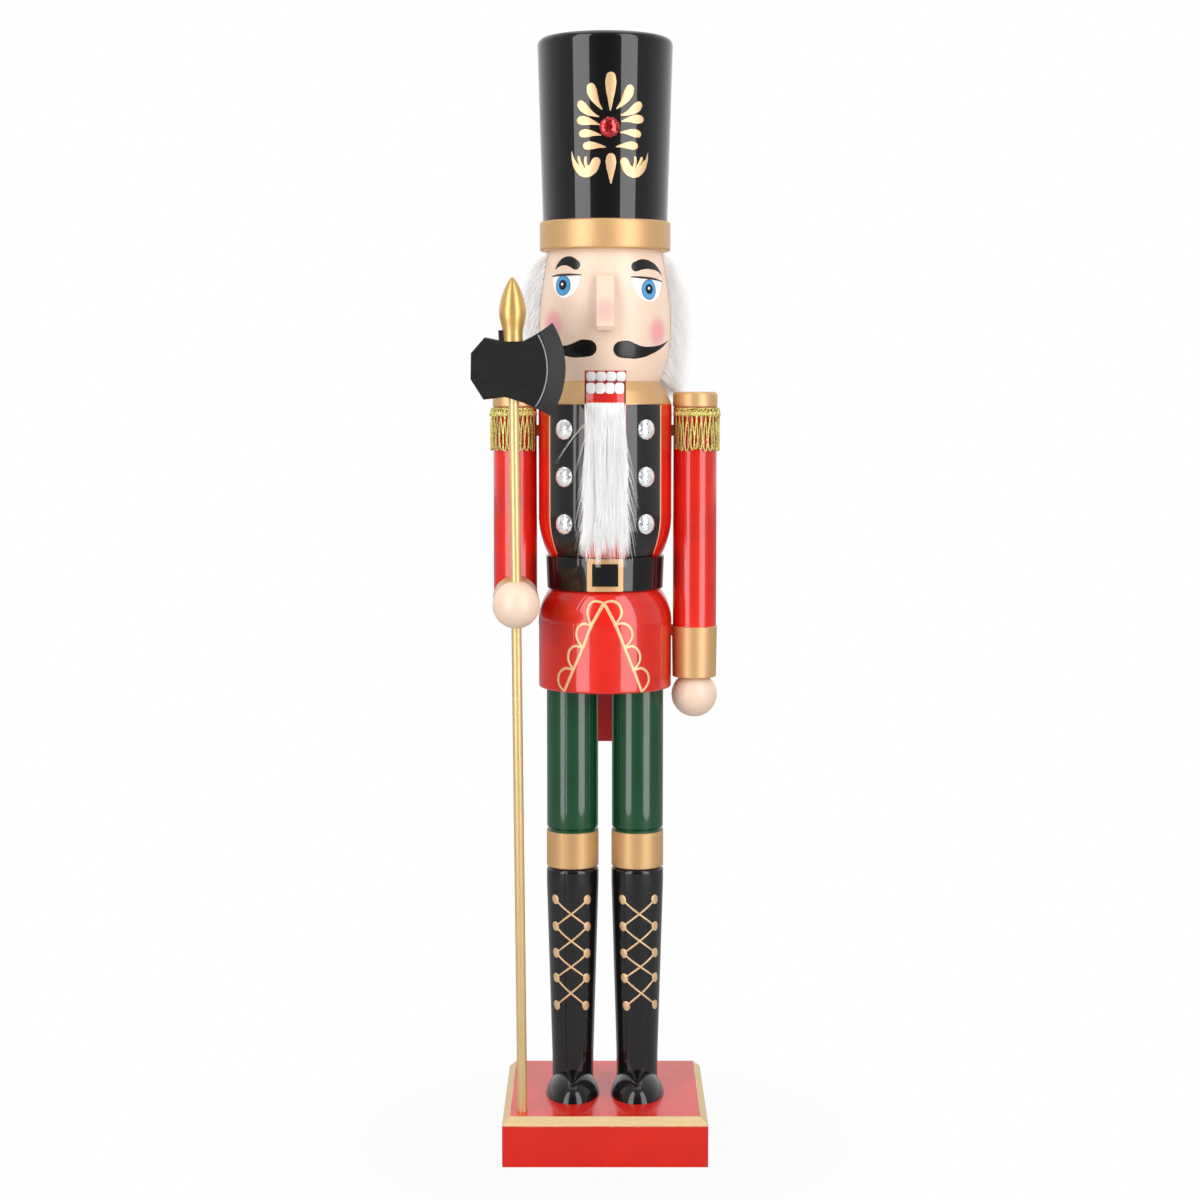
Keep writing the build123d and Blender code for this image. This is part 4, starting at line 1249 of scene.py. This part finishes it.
select_none()
bpy.ops.mesh.primitive_cylinder_add(
    vertices=64, radius=1.0, depth=HEAD_HEIGHTS[-1] - HEAD_HEIGHTS[0], end_fill_type="NOTHING",
    location=(0, 0, (HEAD_HEIGHTS[-1] + HEAD_HEIGHTS[0]) / 2),
)
backing = bpy.context.object
bpy.ops.object.mode_set(mode="EDIT")
for height in HEAD_HEIGHTS[1:-1]:
    bpy.ops.mesh.select_all(action="SELECT")
    bpy.ops.mesh.bisect(plane_co=(0, 0, height), plane_no=(0, 0, 1))
bpy.ops.mesh.select_all(action="SELECT")
bpy.ops.mesh.bisect(plane_co=(0, HAIR_FRONT_Y, 0), plane_no=(0, 1, 0), clear_inner=True)
bpy.ops.object.mode_set(mode="OBJECT")
bpy.ops.object.transform_apply(location=True, rotation=True, scale=True)
for vertex in backing.data.vertices:
    radius = float(np.interp(vertex.co.z, HEAD_HEIGHTS, HEAD_RADII)) - 0.3
    vertex.co = (vertex.co.x * radius * MM, vertex.co.y * radius * MM, vertex.co.z * MM)
thick = backing.modifiers.new("thickness", "SOLIDIFY")
thick.thickness = 0.9 * MM
thick.offset = 1.0
select_only(backing)
bpy.ops.object.modifier_apply(modifier="thickness")
weld(backing)
backing = finish_piece(join([backing], "hair_backing"), "figure", fur.material)

# %% Grow the hair in three strips
ENVELOPE_HEIGHTS = (413.0, 420.0, 430.0, 442.0, 456.0, 470.0, 484.0, 496.0)
ENVELOPE_RADII = (38.0, 41.5, 44.5, 47.0, 48.5, 47.5, 44.0, 38.5)
HAIRS_PER_STRIP = 7400
HAIR_FOOT, HAIR_RISE = 427.0, 68.0
LOCKS_ROUND, LOCKS_UP = 26, 9
BACK_RADIUS_LIMIT = 47.5
TURN_LIMIT = 1.69


def clumped(rng, count, groups, spread, wander):
    """An offset for each hair that it shares with its lock, plus a little of its own."""
    own = rng.normal(0, wander, (count, 3))
    shared = rng.normal(0, spread, (groups, 3))
    return own, shared


def hair_strip(name, first_angle, last_angle, seed):
    """Hair between two angles from straight back, towards +X."""
    rng = np.random.default_rng(seed)
    count = HAIRS_PER_STRIP
    angle = rng.uniform(first_angle, last_angle, count)
    height = HAIR_FOOT + HAIR_RISE * rng.uniform(0, 1, count) ** 0.9
    root_radius = np.interp(height, HEAD_HEIGHTS, HEAD_RADII) + 0.4
    roots = np.stack([root_radius * np.sin(angle), root_radius * np.cos(angle), height], 1)
    share_round = (angle - first_angle) / (last_angle - first_angle) * 0.999
    cell = (
        np.floor(share_round * LOCKS_ROUND).astype(int) * LOCKS_UP
        + np.floor((height - HAIR_FOOT) / (HAIR_RISE + 0.001) * LOCKS_UP).astype(int)
    )
    own, shared = clumped(rng, count, LOCKS_ROUND * LOCKS_UP, 1.5, 0.9)
    fall = rng.uniform(15, 36, count)
    tip_height = height - fall
    tip_height = np.where(tip_height < 419, 416.5 + rng.uniform(0, 7, count), tip_height)
    reach = rng.uniform(0.86, 1.0, count) ** 0.7
    outer = np.interp(tip_height, ENVELOPE_HEIGHTS, ENVELOPE_RADII)
    tip_radius = root_radius + (outer - root_radius) * reach
    stray = rng.uniform(0, 1, count) < 0.09
    tip_radius = tip_radius + np.clip(shared[cell, 1], -2.2, 2.0) * 0.7 + stray * rng.uniform(0.5, 3.6, count)
    tip_radius = np.maximum(tip_radius, np.interp(tip_height, HEAD_HEIGHTS, HEAD_RADII) + 1.5)
    drift = own[:, 0] * 0.03 + shared[cell, 0] * 0.02
    tip_angle = np.clip(angle + drift, -TURN_LIMIT, TURN_LIMIT)
    tips = np.stack([tip_radius * np.sin(tip_angle), tip_radius * np.cos(tip_angle), tip_height], 1)
    tips[:, 2] += shared[cell, 2] * 0.8
    lift_radius = root_radius + np.minimum(rng.uniform(5, 11, count), BACK_RADIUS_LIMIT - root_radius)
    lift_angle = angle + drift * 0.4
    lift_height = np.minimum(height - fall * 0.25, 492.0)
    lifts = np.stack([lift_radius * np.sin(lift_angle), lift_radius * np.cos(lift_angle), lift_height], 1)
    widths = rng.uniform(0.13, 0.21, count)
    strip = grow(name, roots, lifts, tips, widths, 0.5, rng)
    return finish_piece(strip, "figure", fur.material)


SIDE = math.radians(97)
hair_strip("hair_right", -SIDE, -SIDE / 3, 31)
hair_strip("hair_back", -SIDE / 3, SIDE / 3, 32)
hair_strip("hair_left", SIDE / 3, SIDE, 33)
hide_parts("hair")

# %% [markdown]
# ## The beard
# It is glued to the front of the jaw lever, just under the lower teeth, so it nods when the lever
# works. It is as wide as the lever at the top and spreads to a ragged end over the belt. The lowest
# hairs hang a little forward, clear of the belt when the mouth opens.

# %% Grow the beard
BEARD_COUNT = 7400
BEARD_HEIGHTS = (326.0, 331.0, 343.4, 372.0, 413.9)
BEARD_BACK = (42.6, 41.8, 39.4, 37.6, 37.0)
BEARD_FRONT = (45.4, 46.2, 47.6, 47.8, 41.5)
BEARD_HALF_WIDTH = (13.4, 13.2, 12.8, 11.9, 10.2)
LEVER_FRONT = 36.7
BEARD_FOOT, BEARD_TOP = 356.0, 413.4
BEARD_ROOT_HALF = 9.8
BEARD_LOCKS_ACROSS, BEARD_LOCKS_UP = 9, 7

rng = np.random.default_rng(41)
across = rng.uniform(-BEARD_ROOT_HALF, BEARD_ROOT_HALF, BEARD_COUNT)
height = BEARD_FOOT + (BEARD_TOP - BEARD_FOOT) * rng.uniform(0, 1, BEARD_COUNT)
top_row = rng.uniform(0, 1, BEARD_COUNT) < 0.12
height = np.where(top_row, rng.uniform(411.5, 413.6, BEARD_COUNT), height)


def lever_front(x):
    """The y of the jaw lever's curved front at each x."""
    return -np.sqrt(LEVER_FRONT ** 2 - x ** 2)


roots = np.stack([across, lever_front(across) + 0.2, height], 1)
cell = (
    np.floor((across + BEARD_ROOT_HALF) / (2 * BEARD_ROOT_HALF + 0.001) * BEARD_LOCKS_ACROSS).astype(int)
    * BEARD_LOCKS_UP
    + np.floor((height - BEARD_FOOT) / (BEARD_TOP - BEARD_FOOT + 0.6) * BEARD_LOCKS_UP).astype(int)
)
own, shared = clumped(rng, BEARD_COUNT, BEARD_LOCKS_ACROSS * BEARD_LOCKS_UP, 1.3, 0.7)
fall = rng.uniform(22, 44, BEARD_COUNT)
tip_height = height - fall
low = tip_height < 336
ragged_end = 329.0 + 15.0 * rng.uniform(0, 1, BEARD_COUNT) ** 1.3 + shared[cell, 2] * 2.2
tip_height = np.where(low, ragged_end, tip_height)
tip_height = np.clip(tip_height, 325.5, None)
depth = rng.uniform(0.0, 1.0, BEARD_COUNT)
back = np.interp(tip_height, BEARD_HEIGHTS, BEARD_BACK)
front = np.interp(tip_height, BEARD_HEIGHTS, BEARD_FRONT)
half_width = np.interp(tip_height, BEARD_HEIGHTS, BEARD_HALF_WIDTH)
tip_across = across / BEARD_ROOT_HALF * half_width + own[:, 0] * 0.8 + shared[cell, 0] * 0.9
tip_across = np.clip(tip_across, -half_width - 1.0, half_width + 1.0)
tips = np.stack([tip_across, -(back + (front - back) * depth), tip_height], 1)
lift_out = LEVER_FRONT + rng.uniform(3.4, 7.5, BEARD_COUNT) * np.where(top_row, 0.6, 1.0)
lifts = np.stack([across * 1.03 + own[:, 1] * 0.4, -lift_out, height - fall * 0.3], 1)
print(f"the beard hangs from {height.max():.1f} mm to {tip_height.min():.1f} mm above the floor")

# %% Strays that stick out to the sides
STRAYS = np.array((  # x and z of the root, then of the tip
    (-9.2, 404.0, -26.4, 380.3), (-9.4, 402.0, -24.6, 383.0), (-9.4, 398.0, -17.0, 374.0),
    (9.4, 396.0, 15.8, 372.0), (9.5, 388.0, 17.0, 362.0), (9.5, 382.0, 17.8, 357.0),
    (9.3, 377.0, 16.6, 350.0), (9.4, 371.0, 17.0, 343.0), (9.2, 364.0, 16.8, 335.5),
    (9.5, 360.0, 16.2, 331.5), (-9.5, 384.0, -15.2, 358.0), (-9.4, 375.0, -16.0, 349.0),
    (-9.2, 368.0, -15.6, 341.0), (-9.5, 361.0, -15.8, 334.0), (-9.3, 358.0, -14.8, 330.5),
    (9.1, 358.0, 14.9, 330.0),
))
PER_STRAY = 3
BELT_CLEARANCE_FROM = 348.0

scatter = rng.normal(0, 0.5, (len(STRAYS) * PER_STRAY, 4)) * (0.2, 1.0, 1.0, 1.5)
root_x, root_z, tip_x, tip_z = (np.repeat(STRAYS, PER_STRAY, axis=0) + scatter).T
stray_roots = np.stack([root_x, lever_front(root_x) + 0.2, root_z], 1)
stand_off = 2.2 + np.maximum(0, BELT_CLEARANCE_FROM - tip_z) * 0.22
stray_tips = np.stack([tip_x, lever_front(tip_x) - stand_off, tip_z], 1)
stray_lifts = (stray_roots + stray_tips) / 2 + (0, -3.2, 4.0)
roots, lifts, tips = (
    np.vstack(pair) for pair in ((roots, stray_roots), (lifts, stray_lifts), (tips, stray_tips))
)
beard = grow("beard_fur", roots, lifts, tips, rng.uniform(0.12, 0.2, len(roots)), 0.4, rng)
finish_piece(beard, "lever", fur.material)
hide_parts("beard")

# %% [markdown]
# ## The floor
# A large pale sheet. Seen directly it glows as white as the backdrop, so it has no edge, with a soft
# painted shadow where the plinth stands. What the lacquer mirrors of it is a mid grey, as of a table
# that the softboxes don't reach.

# %% Floor
FLOOR_SIZE = 12
SHADE_FROM, SHADE_TO = 0.08, 0.2

select_none()
bpy.ops.mesh.primitive_plane_add(size=FLOOR_SIZE)
floor = bpy.context.object
floor.name = "studio_floor"
floor_paint = Paint("studio_floor", Roughness=0.9)
grain = floor_paint.noise(3, 2)
floor_paint.set("Base Color", floor_paint.blend(grain, (0.42, 0.42, 0.42), (0.46, 0.46, 0.46)))
from_plinth = floor_paint.node("ShaderNodeVectorMath", {"operation": "LENGTH"}, floor_paint.place(), output=1)
# Painted shadow: seen directly, the floor glows a little less white close to the plinth.
white = floor_paint.blend(
    from_plinth.ramp(SHADE_FROM, SHADE_TO), (0.965, 0.965, 0.965), (1.0, 1.0, 1.0)
)
glow = floor_paint.node("ShaderNodeEmission", None, white, 1.0)
mirrored = Wire(floor_paint, floor_paint.shader.outputs[0])
floor_surface = floor_paint.tree.nodes["Material Output"].inputs["Surface"]
floor_paint.plug(floor_surface, floor_paint.for_camera(glow, mirrored))
floor.data.materials.append(floor_paint.material)
print("floor", FLOOR_SIZE, "m square")
